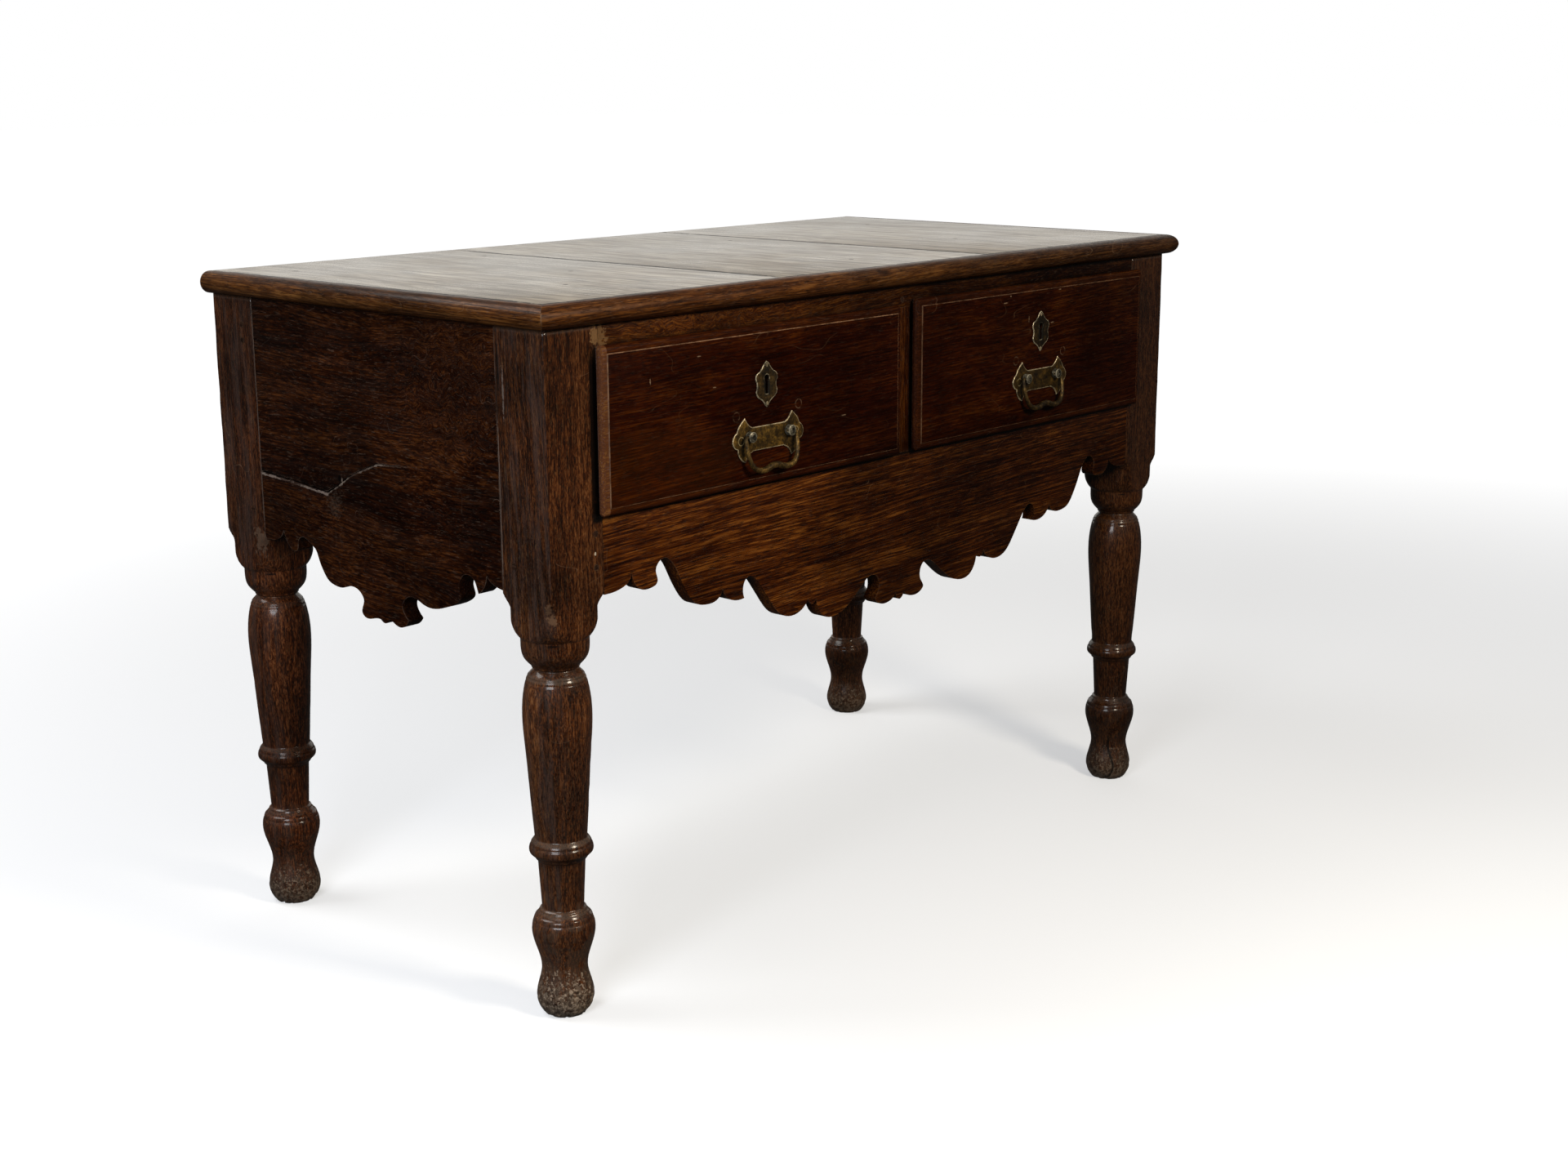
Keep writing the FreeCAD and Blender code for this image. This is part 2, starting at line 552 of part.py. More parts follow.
# ---------------------------------------------------------------- runners, guides and kickers
RUNNER_Z = ("opening_low - runner_thick", "opening_low")
GUIDE_Z = ("opening_low", "opening_low + guide_height")
KICKER_Z = ("side_high + kicker_gap", "case_height")
FULL_Y = ("apron_back_y", "back_front_y")
BETWEEN_POSTS = ("inner_front_y", "inner_back_y")
BEHIND_RAIL = ("front_y + rail_depth", "back_front_y")
for side in SIDES:
    name = "runner_" + NAMES[side]
    inside = block(name + "_inside", across(side, "inner_x - runner_reach", "inner_x"), FULL_Y, RUNNER_Z)
    outside = block(name + "_outside", across(side, "inner_x", "side_inner_x"), BETWEEN_POSTS, RUNNER_Z)
    keep(join(name, [inside, outside]), name)
    name = "guide_" + NAMES[side]
    keep(block(name, across(side, "inner_x", "side_inner_x"), BETWEEN_POSTS, GUIDE_Z), name)
    name = "kicker_" + NAMES[side]
    keep(block(name, across(side, "inner_x - kicker_width", "inner_x"), BEHIND_RAIL, KICKER_Z), name)
keep(block("runner_centre", ("-centre_runner_width / 2", "centre_runner_width / 2"), FULL_Y, RUNNER_Z),
     "runner_centre")
keep(block("guide_centre", muntin_x, ("front_y + set_back + muntin_depth", "back_front_y"), GUIDE_Z),
     "guide_centre")
keep(block("kicker_centre", ("-kicker_width / 2", "kicker_width / 2"), BEHIND_RAIL, KICKER_Z),
     "kicker_centre")


def glue_block(name, x, y, toward_back):
    """A three-cornered block rubbed into the angle below the top, against the rail or the back."""
    wedge = doc.addObject("Part::Prism", name)
    wedge.Polygon = 4
    bind(wedge, Circumradius="block_leg", Height="block_length")
    wedge.Placement = Placement(Vector(), ALONG["x"])
    place(wedge, x, y, "case_height")
    quarter = block(name + "_quarter", (x, x + " + block_length"),
                    (y, y + " + block_leg") if toward_back else (y + " - block_leg", y),
                    ("case_height - block_leg", "case_height"))
    common = doc.addObject("Part::Common", name + "_common")
    common.Base, common.Tool = wedge, quarter
    return common


blocks = []
for side in SIDES:
    start = across(side, "block_inset", "block_inset + block_length")[0]
    blocks.append(glue_block("block_front_" + NAMES[side], start, "front_y + rail_depth", True))
    blocks.append(glue_block("block_back_" + NAMES[side], start, "back_front_y", False))
keep(group("glue_blocks", blocks), "glue_blocks")

# ---------------------------------------------------------------- top
INNER_NOSE_X = "nose_x - nose_width"
INNER_NOSE_Y = "nose_y + nose_width"
TOP_Z = ("case_height", "top_z")
TOP_BOARDS = {"left": ("-(%s)" % INNER_NOSE_X, "-joint_left"), "middle": ("-joint_left", "joint_right"),
              "right": ("joint_right", INNER_NOSE_X)}
for part, x in TOP_BOARDS.items():
    name = "top_board_" + part
    keep(block(name, x, (INNER_NOSE_Y, "back_y"), TOP_Z), name)


def nose_outline(outward):
    """The section of the edge moulding: square at the back, a half-round nose in front."""
    width, thick = size("nose_width"), size("top_thick")
    flat = width - thick / 2
    corners = [(flat, 0), (0, 0), (0, thick), (flat, thick)]
    stretches = [corners[index:index + 2] for index in range(3)]
    stretches.append(("arc", (flat, thick), (width, thick / 2), (flat, 0)))
    return [[point if point == "arc" else (outward * point[0], point[1]) for point in stretch]
            for stretch in stretches]


def mitre(name, x, y, turn):
    """A square block whose corner stands on the moulding's outer corner, to saw a mitre with."""
    saw = block(name, ("0", "nose_width * 2"), ("0", "nose_width * 2"), ("0", "top_thick * 2"))
    saw.Placement = Placement(Vector(), Rotation(Vector(0, 0, 1), turn))
    place(saw, x, y, "case_height - top_thick / 2")
    return saw


def moulding(name, role, outward, length, x, y, mitres):
    strip = cut_out(name + "_strip", role, nose_outline(outward), length)
    place(strip, x, y, "case_height")
    return keep(carve(name, strip, mitres), name)


moulding("top_moulding_front", "YZ_Plane", -1, "2 * nose_x", "-nose_x", INNER_NOSE_Y,
         [mitre("front_mitre_" + NAMES[side], offset(side, "nose_x"), "nose_y", 45) for side in SIDES])
for side, turn in ((-1, -45), (1, 135)):
    name = "top_moulding_" + NAMES[side]
    moulding(name, "XZ_Plane", side, "back_y - nose_y", offset(side, INNER_NOSE_X), "nose_y",
             [mitre("side_mitre_" + NAMES[side], offset(side, "nose_x"), "nose_y", turn)])

# ---------------------------------------------------------------- drawers
# Half of the brass outlines, from the top middle round to the bottom middle, in percent of the
# half width and half height; a new row starts at each corner.
PLATE_OUTLINE = [
    [(0, 46), (46, 46)],
    [(46, 46), (57, 66), (66, 100)],
    [(66, 100), (75, 80), (83, 58), (88, 30)],
    [(88, 30), (97, 10), (100, -14), (96, -34), (86, -44)],
    [(86, -44), (85, -62), (78, -84), (65, -100)],
    [(65, -100), (55, -72), (42, -59)],
    [(42, -59), (0, -59)],
]
ESCUTCHEON_OUTLINE = [
    [(0, 100), (22, 88), (45, 68), (76, 52)],
    [(76, 52), (93, 44), (100, 28), (90, 10)],
    [(90, 10), (88, -8), (97, -30)],
    [(97, -30), (84, -50), (55, -64)],
    [(55, -64), (32, -76), (17, -88), (0, -100)],
]


def brass_outline(rows, half_width, rise, drop):
    """Both halves of a brass plate's outline, set out in millimetres."""
    right = [[(half_width * share / 100, (rise if up > 0 else drop) * up / 100) for share, up in row]
             for row in rows]
    return right + turn_round([[(-x, z) for x, z in row] for row in right])


def keyhole(name, hand, y_front, y_back):
    """The round and the slot of a keyhole, as one cutter through a thickness."""
    middle, level = "lock_x_" + hand, "escutcheon_z_" + hand
    top = level + " + keyhole_height / 2 - keyhole_r"
    eye = pin(name + "_eye", "keyhole_r", "(%s) - (%s)" % (y_back, y_front), (middle, y_front, top), "y")
    slot = block(name + "_slot", about(middle, "keyhole_slot / 2"), (y_front, y_back),
                 (level + " - keyhole_height / 2", top))
    return join(name, [eye, slot])


def bevelled(body):
    """A bevel all round the front face of a sawn brass plate."""
    doc.recompute()
    saw = body.Tip
    front = min(range(len(saw.Shape.Faces)), key=lambda index: saw.Shape.Faces[index].CenterOfMass.y)
    bevel = body.newObject("PartDesign::Chamfer", body.Name + "_bevel")
    bevel.Base = (saw, ["Face%d" % (front + 1)])
    bind(bevel, Size="plate_bevel")
    return body


def shank_holes(name, hand, y_front, y_back):
    """The two holes for the handle's shanks through a thickness."""
    return [pin("%s_%s" % (name, NAMES[side]), "shank_hole_r", "(%s) - (%s)" % (y_back, y_front),
                (beside("handle_x_" + hand, side, "post_half"), y_front, "handle_z_" + hand), "y")
            for side in SIDES]


def drawer_side(name, x):
    """A drawer side sawn with dovetail tails at both ends, less the groove for the bottom."""
    low, high = size("drawer_low"), size("side_high")
    y_front, y_back = size("front_back_y"), size("drawer_end_y") - size("drawer_back_thick")
    count, gap, flare = int(size("tail_count")), size("tail_gap"), size("tail_flare")
    pitch = (high - low) / count

    def tails(root_y, tip_y):
        """Tail corners up one end of the board, root to tip and back, wider at the tip."""
        points = []
        for index in range(count):
            foot = low + index * pitch + gap / 2
            head = foot + pitch - gap
            points += [(root_y, foot + flare / 2), (tip_y, foot - flare / 2),
                       (tip_y, head + flare / 2), (root_y, head - flare / 2)]
        return points

    front = tails(y_front, y_front - size("tail_length"))
    back = tails(y_back, size("drawer_end_y"))
    corners = [(y_front, low)] + front + [(y_front, high), (y_back, high)] + back[::-1] + [(y_back, low)]
    stretches = [[corner, corners[(index + 1) % len(corners)]] for index, corner in enumerate(corners)]
    body = cut_out(name + "_sawn", "YZ_Plane", stretches, "drawer_side_thick")
    place(body, x)
    return body


def drawer_box(side, hand):
    """The sides, back and nailed-up bottom of a drawer; returns what the front is cut to take."""
    x_mid = offset(side, "drawer_mid_x")
    groove_z = ("bottom_low", "bottom_high")
    x_bottom = across(side, "drawer_in_x + drawer_side_thick - bottom_groove",
                      "drawer_out_x - drawer_side_thick + bottom_groove")
    bottom = block("drawer_bottom_blank_" + hand, x_bottom,
                   ("front_back_y - bottom_groove", "drawer_end_y"), groove_z)
    walls = []
    for part, near in (("outer", "drawer_out_x - drawer_side_thick"), ("inner", "drawer_in_x")):
        name = "drawer_side_%s_%s" % (part, hand)
        sawn = drawer_side(name, across(side, near, near + " + drawer_side_thick")[0])
        walls.append(keep(carve(name, sawn, [bottom]), name))
    back_blank = block("drawer_back_blank_" + hand, across(side, "drawer_in_x", "drawer_out_x"),
                       ("drawer_end_y - drawer_back_thick", "drawer_end_y"),
                       ("bottom_high", "side_high - drawer_back_drop"))
    nails = [pin("bottom_nail_%s_%s" % (hand, part), "nail_radius", "nail_length",
                 (x_mid + shift, "drawer_end_y - drawer_back_thick / 2", "bottom_low"), "z")
             for part, shift in (("left", " - nail_spread"), ("middle", ""), ("right", " + nail_spread"))]
    keep(carve("drawer_back_" + hand, back_blank, walls + nails), "drawer_back_" + hand)
    keep(carve("drawer_bottom_nailed_" + hand, bottom, nails), "drawer_bottom_" + hand)
    keep(group("bottom_nails_" + hand, nails), "bottom_nails_" + hand)
    groove = block("front_groove_" + hand, x_bottom, ("front_back_y - bottom_groove", "front_back_y"),
                   groove_z)
    return walls + [groove]


def drawer_lock(side, hand):
    """An iron lock let into the back of the front, flush with its top edge, and its bolt."""
    middle = "lock_x_" + hand
    case = block("lock_body_" + hand, about(middle, "lock_width / 2"),
                 ("lock_front_y", "front_back_y"), ("lock_low", "drawer_high"))
    room = block("bolt_room_" + hand, BOLT_SLOT_X[side], BOLT_SLOT_Y,
                 ("drawer_high - bolt_height - bolt_play", "drawer_high"))
    hole = keyhole("lock_keyhole_" + hand, hand, "lock_front_y", "lock_front_y + lock_thick / 2")
    key_pin = pin("key_pin_" + hand, "key_pin_r", "lock_thick / 2", (middle, "lock_front_y",
                  "escutcheon_z_%s + keyhole_height / 2 - keyhole_r" % hand), "y")
    hollow = carve("lock_hollow_" + hand, case, [room, hole])
    keep(join("lock_joined_" + hand, [hollow, key_pin]), "lock_case_" + hand)
    keep(block("lock_bolt_" + hand, about(middle, "bolt_width / 2"), BOLT_Y,
               ("drawer_high - bolt_height", "drawer_high")), "lock_bolt_" + hand)
    return case


def keyhole_plate(hand):
    """The sawn brass plate round the keyhole and its two pins; returns the pins."""
    half_width, half_height = size("escutcheon_half"), size("escutcheon_half_height")
    outline = brass_outline(ESCUTCHEON_OUTLINE, half_width, half_height, half_height)
    plate = bevelled(cut_out("escutcheon_sawn_" + hand, "XZ_Plane", outline, "escutcheon_thick"))
    middle, level = "lock_x_" + hand, "escutcheon_z_" + hand
    place(plate, middle, "escutcheon_y", level)
    hole = keyhole("escutcheon_keyhole_" + hand, hand, "escutcheon_y", "face_y")
    tacks = [pin("escutcheon_tack_%s_%s" % (hand, part), "escutcheon_pin_r", "escutcheon_pin_length",
                 (middle, "escutcheon_y - peg_proud",
                  "%s %s (escutcheon_half_height - escutcheon_pin_inset)" % (level, sign)), "y")
             for part, sign in (("top", "+"), ("bottom", "-"))]
    keep(carve("escutcheon_" + hand, plate, [hole] + tacks), "escutcheon_" + hand)
    keep(group("escutcheon_pins_" + hand, tacks), "escutcheon_pins_" + hand)
    return tacks


def drawer_front(side, hand, cutters):
    """A thick board with a rounded lip that laps over the case, and a raised field."""
    core = block("front_core_" + hand, across(side, "drawer_in_x", "drawer_out_x"),
                 ("front_y", "front_back_y"), ("drawer_low", "drawer_high"))
    x_lip = across(side, "lip_in_x", "lip_out_x")
    z_lip = ("lip_low", "lip_high_" + hand)
    lip = block("front_lip_" + hand, x_lip, ("front_y - lip_thick", "front_y"), z_lip)
    field = block("front_field_" + hand, (x_lip[0] + " + field_inset", x_lip[1] + " - field_inset"),
                  ("face_y", "front_y - lip_thick"),
                  (z_lip[0] + " + field_inset", z_lip[1] + " - field_inset"))
    doc.recompute()
    rounded = doc.addObject("Part::Fillet", "front_rounded_" + hand)
    rounded.Base = lip
    edges = lip.Shape.Edges
    front_plane = min(edge.CenterOfMass.y for edge in edges)
    rounded.Edges = [(index, size("lip_round"), size("lip_round"))
                     for index, edge in enumerate(edges, start=1)
                     if abs(edge.CenterOfMass.y - front_plane) < size("field_rise") / 2]
    board = join("front_joined_" + hand, [core, rounded, field])
    through = [keyhole("front_keyhole_" + hand, hand, "face_y", "lock_front_y")]
    through += shank_holes("front_hole_" + hand, hand, "face_y", "front_back_y")
    keep(carve("drawer_front_" + hand, board, cutters + through), "drawer_front_" + hand)


def revolved(name, profile, start):
    """A turned piece about an axis along Y: radius and distance along +Y for each corner."""
    points = [Vector(radius, along, 0) for radius, along in profile]
    face = Part.Face(Part.makePolygon(points + points[:1]))
    piece = doc.addObject("Part::Feature", name)
    piece.Shape = face.revolve(Vector(), Vector(0, 1, 0), 360)
    place(piece, *start)
    return piece


def handle(hand):
    """The sawn plate, the turned posts with their nuts, and the bail of one drawer's handle."""
    x_mid, level = "handle_x_" + hand, "handle_z_" + hand
    plate = bevelled(cut_out("plate_sawn_" + hand, "XZ_Plane",
                             brass_outline(PLATE_OUTLINE, size("plate_half"), size("plate_rise"),
                                           size("plate_drop")), "plate_thick"))
    place(plate, x_mid, "plate_y", level)
    keep(carve("handle_plate_" + hand, plate, shank_holes("plate_hole_" + hand, hand, "plate_y",
                                                          "face_y")), "handle_plate_" + hand)
    head, height, waist = size("head_r"), size("head_height"), size("neck_waist_r")
    shank, rim, dimple = size("shank_r"), size("head_rim"), size("dimple_r")
    foot, end = size("plate_thick"), size("plate_thick") + size("face_proud") + size("front_inner")
    end += size("shank_out")
    profile = [(0, dimple / 2 - height), (dimple / 2, dimple / 2 - height), (dimple, -height),
               (head * 0.6, -height), (head, rim / 3 - height), (head, 2 * rim / 3 - height),
               (waist, rim - height), (waist, -foot), (head, -foot), (head, 0), (shank, 0),
               (shank, end), (0, end)]
    posts, nuts = [], []
    for other in SIDES:
        x = beside(x_mid, other, "post_half")
        name = "handle_post_%s_%s" % (hand, NAMES[other])
        post = revolved(name + "_turned", profile, (x, "plate_y", level))
        eye = pin(name + "_eye", "pin_radius_hole", "4 * head_r", (x + " - 2 * head_r", "pivot_y", level),
                  "x")
        posts.append(carve(name, post, [eye]))
        nut = block(name + "_nut_blank", about(x, "nut_side / 2"),
                    ("front_back_y", "front_back_y + nut_thick"),
                    about(level, "nut_side / 2"))
        bore = pin(name + "_nut_bore", "shank_r", "nut_thick", (x, "front_back_y", level), "y")
        nuts.append(carve(name + "_nut", nut, [bore]))
    keep(group("handle_posts_" + hand, posts), "handle_posts_" + hand)
    keep(group("handle_nuts_" + hand, nuts), "handle_nuts_" + hand)
    keep(bail("bail_" + hand, x_mid, level), "bail_" + hand)


def bail(name, x_mid, level):
    """The swan-neck bail: a rod that swells to the grip, its bent ends in the eyes of the posts."""
    half, drop, lobe = size("bail_half"), size("bail_drop"), size("bail_lobe")
    shoulder = size("post_half") + size("head_r") + size("bail_gap")
    bend = half - shoulder
    turn = math.sqrt(0.5) * bend
    corner = Part.Arc(Vector(shoulder, 0, 0), Vector(shoulder + turn, 0, turn - bend),
                      Vector(half, 0, -bend))
    course = [(half, -bend), (half, -0.3 * drop), (0.96 * half, -0.6 * drop),
              (0.83 * half, -0.87 * drop), (lobe, -drop), (lobe / 2, -0.97 * drop),
              (0, -size("bail_middle_drop"))]
    bow = Part.BSplineCurve()
    bow.interpolate(Points=[Vector(x, 0, z) for x, z in course], InitialTangent=Vector(0, 0, -1),
                    FinalTangent=Vector(-1, 0, 0))
    stations = [(corner, share / 4) for share in range(4)] + [(bow, share / 14) for share in range(15)]
    rings = []
    for index, (curve, share) in enumerate(stations):
        along = curve.FirstParameter + share * (curve.LastParameter - curve.FirstParameter)
        swell = math.sin(math.pi / 2 * index / (len(stations) - 1))
        radius = size("bail_pin_r") + (size("bail_arm_r") - size("bail_pin_r")) * min(1, index / 4)
        radius += (size("bail_grip_r") - size("bail_arm_r")) * swell ** 4
        rings.append((curve.value(along), curve.tangent(along)[0], radius))
    rings += [(Vector(-spot.x, 0, spot.z), Vector(way.x, 0, -way.z), radius)
              for spot, way, radius in reversed(rings[:-1])]
    bow_rod = doc.addObject("Part::Feature", name + "_bow")
    bow_rod.Shape = Part.makeLoft([Part.Wire(Part.Circle(*ring).toShape()) for ring in rings], True)
    lean = math.degrees(math.asin(size("bail_lean") / drop))
    bow_rod.Placement = Placement(Vector(), Rotation(Vector(1, 0, 0), -lean))
    place(bow_rod, x_mid, "pivot_y", level)
    starts = {-1: "post_half + head_r + bail_gap", 1: "post_half - bail_pin_inset"}
    ends = [pin("%s_end_%s" % (name, NAMES[side]), "bail_pin_r", "head_r + bail_gap + bail_pin_inset",
                (beside(x_mid, side, starts[side]), "pivot_y", level), "x") for side in SIDES]
    return join(name, ends + [bow_rod])


for side, hand in NAMES.items():
    box_parts = drawer_box(side, hand)
    lock_case = drawer_lock(side, hand)
    drawer_front(side, hand, box_parts + [lock_case] + keyhole_plate(hand))
    handle(hand)

# ---------------------------------------------------------------- build, check and write
doc.recompute()
faults = [item.Name for item in doc.Objects if "Invalid" in item.State or "Error" in item.State]
faults += [node.Label for node in nodes if node.Shape.isNull() or not node.Shape.isValid()]
if faults:
    raise SystemExit("These did not build: " + ", ".join(faults))
os.makedirs("parts", exist_ok=True)
for node in nodes:
    node.Shape.exportStep("parts/%s.step" % node.Label)
print(len(nodes), "nodes")
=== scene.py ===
"""The lowboy's looks: old polished hardwood, pale worn top, dull brasses and dark iron.

The pieces follow the joiner's order: legs, boards, pegs, runners, top, drawers, locks, brasses.
Lengths are in metres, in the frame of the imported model.
"""
import json
import math

import bmesh
import bpy
from mathutils import Matrix, Vector, noise

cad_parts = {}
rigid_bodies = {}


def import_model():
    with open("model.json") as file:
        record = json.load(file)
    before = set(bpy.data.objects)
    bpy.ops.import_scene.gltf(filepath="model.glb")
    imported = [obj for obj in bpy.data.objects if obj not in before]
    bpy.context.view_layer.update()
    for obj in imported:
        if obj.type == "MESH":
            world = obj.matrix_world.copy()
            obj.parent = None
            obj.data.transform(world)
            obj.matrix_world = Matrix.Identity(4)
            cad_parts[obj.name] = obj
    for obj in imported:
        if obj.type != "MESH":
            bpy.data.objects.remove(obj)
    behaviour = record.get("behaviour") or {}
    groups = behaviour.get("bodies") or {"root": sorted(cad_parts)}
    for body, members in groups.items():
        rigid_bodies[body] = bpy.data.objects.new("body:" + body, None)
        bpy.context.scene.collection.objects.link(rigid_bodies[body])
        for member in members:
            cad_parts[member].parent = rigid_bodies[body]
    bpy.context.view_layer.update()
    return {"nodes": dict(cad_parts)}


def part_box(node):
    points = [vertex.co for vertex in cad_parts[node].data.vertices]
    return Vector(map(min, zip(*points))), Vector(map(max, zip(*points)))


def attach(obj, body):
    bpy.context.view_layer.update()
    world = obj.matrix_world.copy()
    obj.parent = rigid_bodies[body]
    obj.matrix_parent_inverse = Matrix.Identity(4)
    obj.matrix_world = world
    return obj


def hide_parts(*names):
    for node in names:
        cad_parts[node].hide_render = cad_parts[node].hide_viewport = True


for leftover in list(bpy.data.objects):
    bpy.data.objects.remove(leftover)
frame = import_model()

# ---------------------------------------------------------------- legs
# Each leg is one stick of dense dark hardwood: square where the boards are tenoned into it, turned
# below, with the arrises worn round by handling and the foot scuffed pale by brooms and damp.
SQUARE_LEVEL = 0.461
ARRIS_WEAR = 0.0021
ARRIS_SPREAD = math.radians(5)
ARRIS_STEPS = 6
FLAT_STEPS = 16
POST_STEP = 0.006
RING_STEP = 0.0006
RING_SLACK = 0.00005
LONGEST_STEP = 0.008
SEED_STEP = 3.7
WAVER_REACH = 0.03
WAVER_DEPTH = 0.00025
DENT_DEPTH = 0.0012
SCUFF_DEPTH = 0.004
FOOT_WEAR_LEVEL = 0.030
CREASE = math.radians(38)
GRAIN_LEAN = (0.02, 0.03, 0.015)
MIDDLE_GREY = (0.5, 0.5, 0.5)
BLOOM_AND_SHEEN_TONE = (0.056, 0.036, 0.030)
RELIEF_DEPTH = 0.0006
GRIME_AND_SHADE_REACH = 0.012
FINEST_MARK = 0.0015
# A near-black tone: painted shadow in the gaps beside and under the drawers, under the legs' shoulders and
# over the shake, and real dirt in joints, cracks and nail holes.
GAP_SHADE_AND_DIRT = (0.0015, 0.001, 0.0008)


def node(tree, kind, inputs=None, **settings):
    """One shader node; each input takes a value, or the output of another node."""
    made = tree.nodes.new("ShaderNode" + kind)
    for key, value in settings.items():
        setattr(made, key, value)
    for key, value in (inputs or {}).items():
        if isinstance(value, bpy.types.NodeSocket):
            tree.links.new(value, made.inputs[key])
        else:
            made.inputs[key].default_value = value
    return made


def calc(tree, operation, *terms, clamp=False):
    """The result of one sum on numbers or outputs."""
    made = node(tree, "Math", dict(enumerate(terms)), operation=operation, use_clamp=clamp)
    return made.outputs[0]


def vectors(tree, operation, *terms):
    """The vector that one sum on vectors gives."""
    return node(tree, "VectorMath", dict(enumerate(terms)), operation=operation).outputs["Vector"]


def measured(tree, operation, *terms):
    """The number that one sum on vectors gives, such as a length."""
    return node(tree, "VectorMath", dict(enumerate(terms)), operation=operation).outputs["Value"]


def scaled(tree, way, share):
    """A vector made longer or shorter."""
    return node(tree, "VectorMath", {0: way, "Scale": share}, operation="SCALE").outputs["Vector"]


def spread(tree, value, low, high, to_low=0.0, to_high=1.0):
    """A value stretched smoothly from one range to another."""
    made = node(tree, "MapRange", {"Value": value, "From Min": low, "From Max": high,
                                   "To Min": to_low, "To Max": to_high},
                interpolation_type="SMOOTHSTEP")
    return made.outputs["Result"]


def blended(tree, share, first, second, how="MIX"):
    """Two colours mixed by a share; each is a tone, or the output of another node."""
    first, second = [(*tone, 1) if isinstance(tone, tuple) else tone for tone in (first, second)]
    made = node(tree, "Mix", {0: share, 6: first, 7: second}, data_type="RGBA", blend_type=how)
    return made.outputs[2]


def ramp(tree, value, stops):
    """Colours along a scale from 0 to 1."""
    made = node(tree, "ValToRGB", {0: value})
    band = made.color_ramp
    for element, (place, colour) in zip(band.elements, (stops[0], stops[-1])):
        element.position = place
        element.color = (*colour, 1)
    for place, colour in stops[1:-1]:
        band.elements.new(place).color = (*colour, 1)
    return made.outputs[0]


def speckle(tree, where, stretch, detail=2.0, roughness=0.5, distortion=0.0):
    """Noise of one fineness, or of three: along the grain, across it and into the log."""
    if not isinstance(stretch, tuple):
        stretch = (stretch, stretch, stretch)
    moved = node(tree, "Mapping", {"Vector": where, "Scale": stretch})
    made = node(tree, "TexNoise", {"Vector": moved.outputs[0], "Scale": 1.0, "Detail": detail,
                                   "Roughness": roughness, "Distortion": distortion})
    return made.outputs["Fac"]


def placed_on(tree):
    """The place of each point on the piece."""
    return node(tree, "TexCoord").outputs["Object"]


def along_grain(tree, grain, start):
    """The place of each point, and the same along the grain, across it and into the log."""
    place = placed_on(tree)
    parts = node(tree, "SeparateXYZ", {0: place})
    order = {"x": (0, 1, 2), "y": (1, 0, 2), "z": (2, 0, 1)}[grain]
    turned = node(tree, "CombineXYZ", {slot: parts.outputs[axis] for slot, axis in enumerate(order)})
    moved = node(tree, "Mapping", {"Vector": turned.outputs[0], "Location": start,
                                   "Rotation": GRAIN_LEAN})
    return place, moved.outputs[0]


def waved(tree, board, waviness):
    """The same place bent a little, so that the figure wanders as the tree grew."""
    moved = node(tree, "Mapping", {"Vector": board, "Scale": (2.6, 8.0, 8.0)})
    drift = node(tree, "TexNoise", {"Vector": moved.outputs[0], "Scale": 1.0, "Detail": 2.0})
    centred = vectors(tree, "SUBTRACT", drift.outputs["Color"], MIDDLE_GREY)
    return vectors(tree, "MULTIPLY_ADD", centred, (0.0, waviness, waviness), board)


def curled(tree, place, bent, spot, reach, depth):
    """The same place bent more round one spot, as the grain swirls beside a knot."""
    away = vectors(tree, "DIVIDE", vectors(tree, "SUBTRACT", place, spot), reach)
    nearness = spread(tree, measured(tree, "LENGTH", away), 0.3, 1.0, depth, 0.0)
    swirl = node(tree, "TexNoise", {"Vector": place, "Scale": 34.0, "Detail": 2.0})
    swing = vectors(tree, "SUBTRACT", swirl.outputs["Color"], MIDDLE_GREY)
    return vectors(tree, "ADD", bent, scaled(tree, swing, nearness))


def figured(tree, bent, bands, fleck, lines, twist, mix):
    """Broad bands, flecks and fine lines as one figure from 0 to 1, and the fine lines alone."""
    broad = spread(tree, speckle(tree, bent, (1.6, bands, bands), 4.0, 0.6), 0.41, 0.59)
    ribbon = speckle(tree, bent, (fleck[0], fleck[1], fleck[1]), 2.0, 0.55, twist)
    ribbon = spread(tree, ribbon, 0.36, 0.64)
    drawn = spread(tree, speckle(tree, bent, (lines[0], lines[1], lines[1]), 3.0, 0.62), 0.37, 0.63)
    parts = [calc(tree, "MULTIPLY", part, share) for part, share in zip((broad, ribbon, drawn), mix)]
    return calc(tree, "ADD", parts[0], calc(tree, "ADD", parts[1], parts[2])), drawn


def on_edges(tree, true, width, low, high, samples):
    """How far a point lies on an edge that handling rubs, from 0 to 1."""
    smooth = node(tree, "Bevel", {"Radius": width}, samples=samples)
    facing = measured(tree, "DOT_PRODUCT", smooth.outputs[0], true)
    return spread(tree, calc(tree, "SUBTRACT", 1.0, facing), low, high)


def in_corners(tree, reach, low, high, most):
    """How deep a point lies in a corner or hollow, by ambient occlusion."""
    hollow = node(tree, "AmbientOcclusion", {"Distance": reach}, samples=6).outputs["AO"]
    return spread(tree, hollow, low, high, most, 0.0)


def scratched(tree, place, bent):
    """Long hair scratches in some areas, and small nicks along the grain."""
    stray = calc(tree, "SUBTRACT", speckle(tree, place, (9.0, 27.0, 26.0), 1.0, 0.4, 0.2), 0.5)
    hair = spread(tree, calc(tree, "ABSOLUTE", stray), 0.0006, 0.0026, 1.0, 0.0)
    area = spread(tree, speckle(tree, place, (19.0, 23.0, 29.0), 2.0, 0.5), 0.53, 0.63)
    nicks = spread(tree, speckle(tree, bent, (70.0, 420.0, 420.0), 3.0, 0.75, 0.6), 0.70, 0.74)
    return calc(tree, "MAXIMUM", calc(tree, "MULTIPLY", hair, area), nicks)


def fresh_finish(name):
    """A new material with its nodes and its shader."""
    material = bpy.data.materials.new(name)
    material.use_nodes = True
    tree = material.node_tree
    return material, tree, tree.nodes["Principled BSDF"]


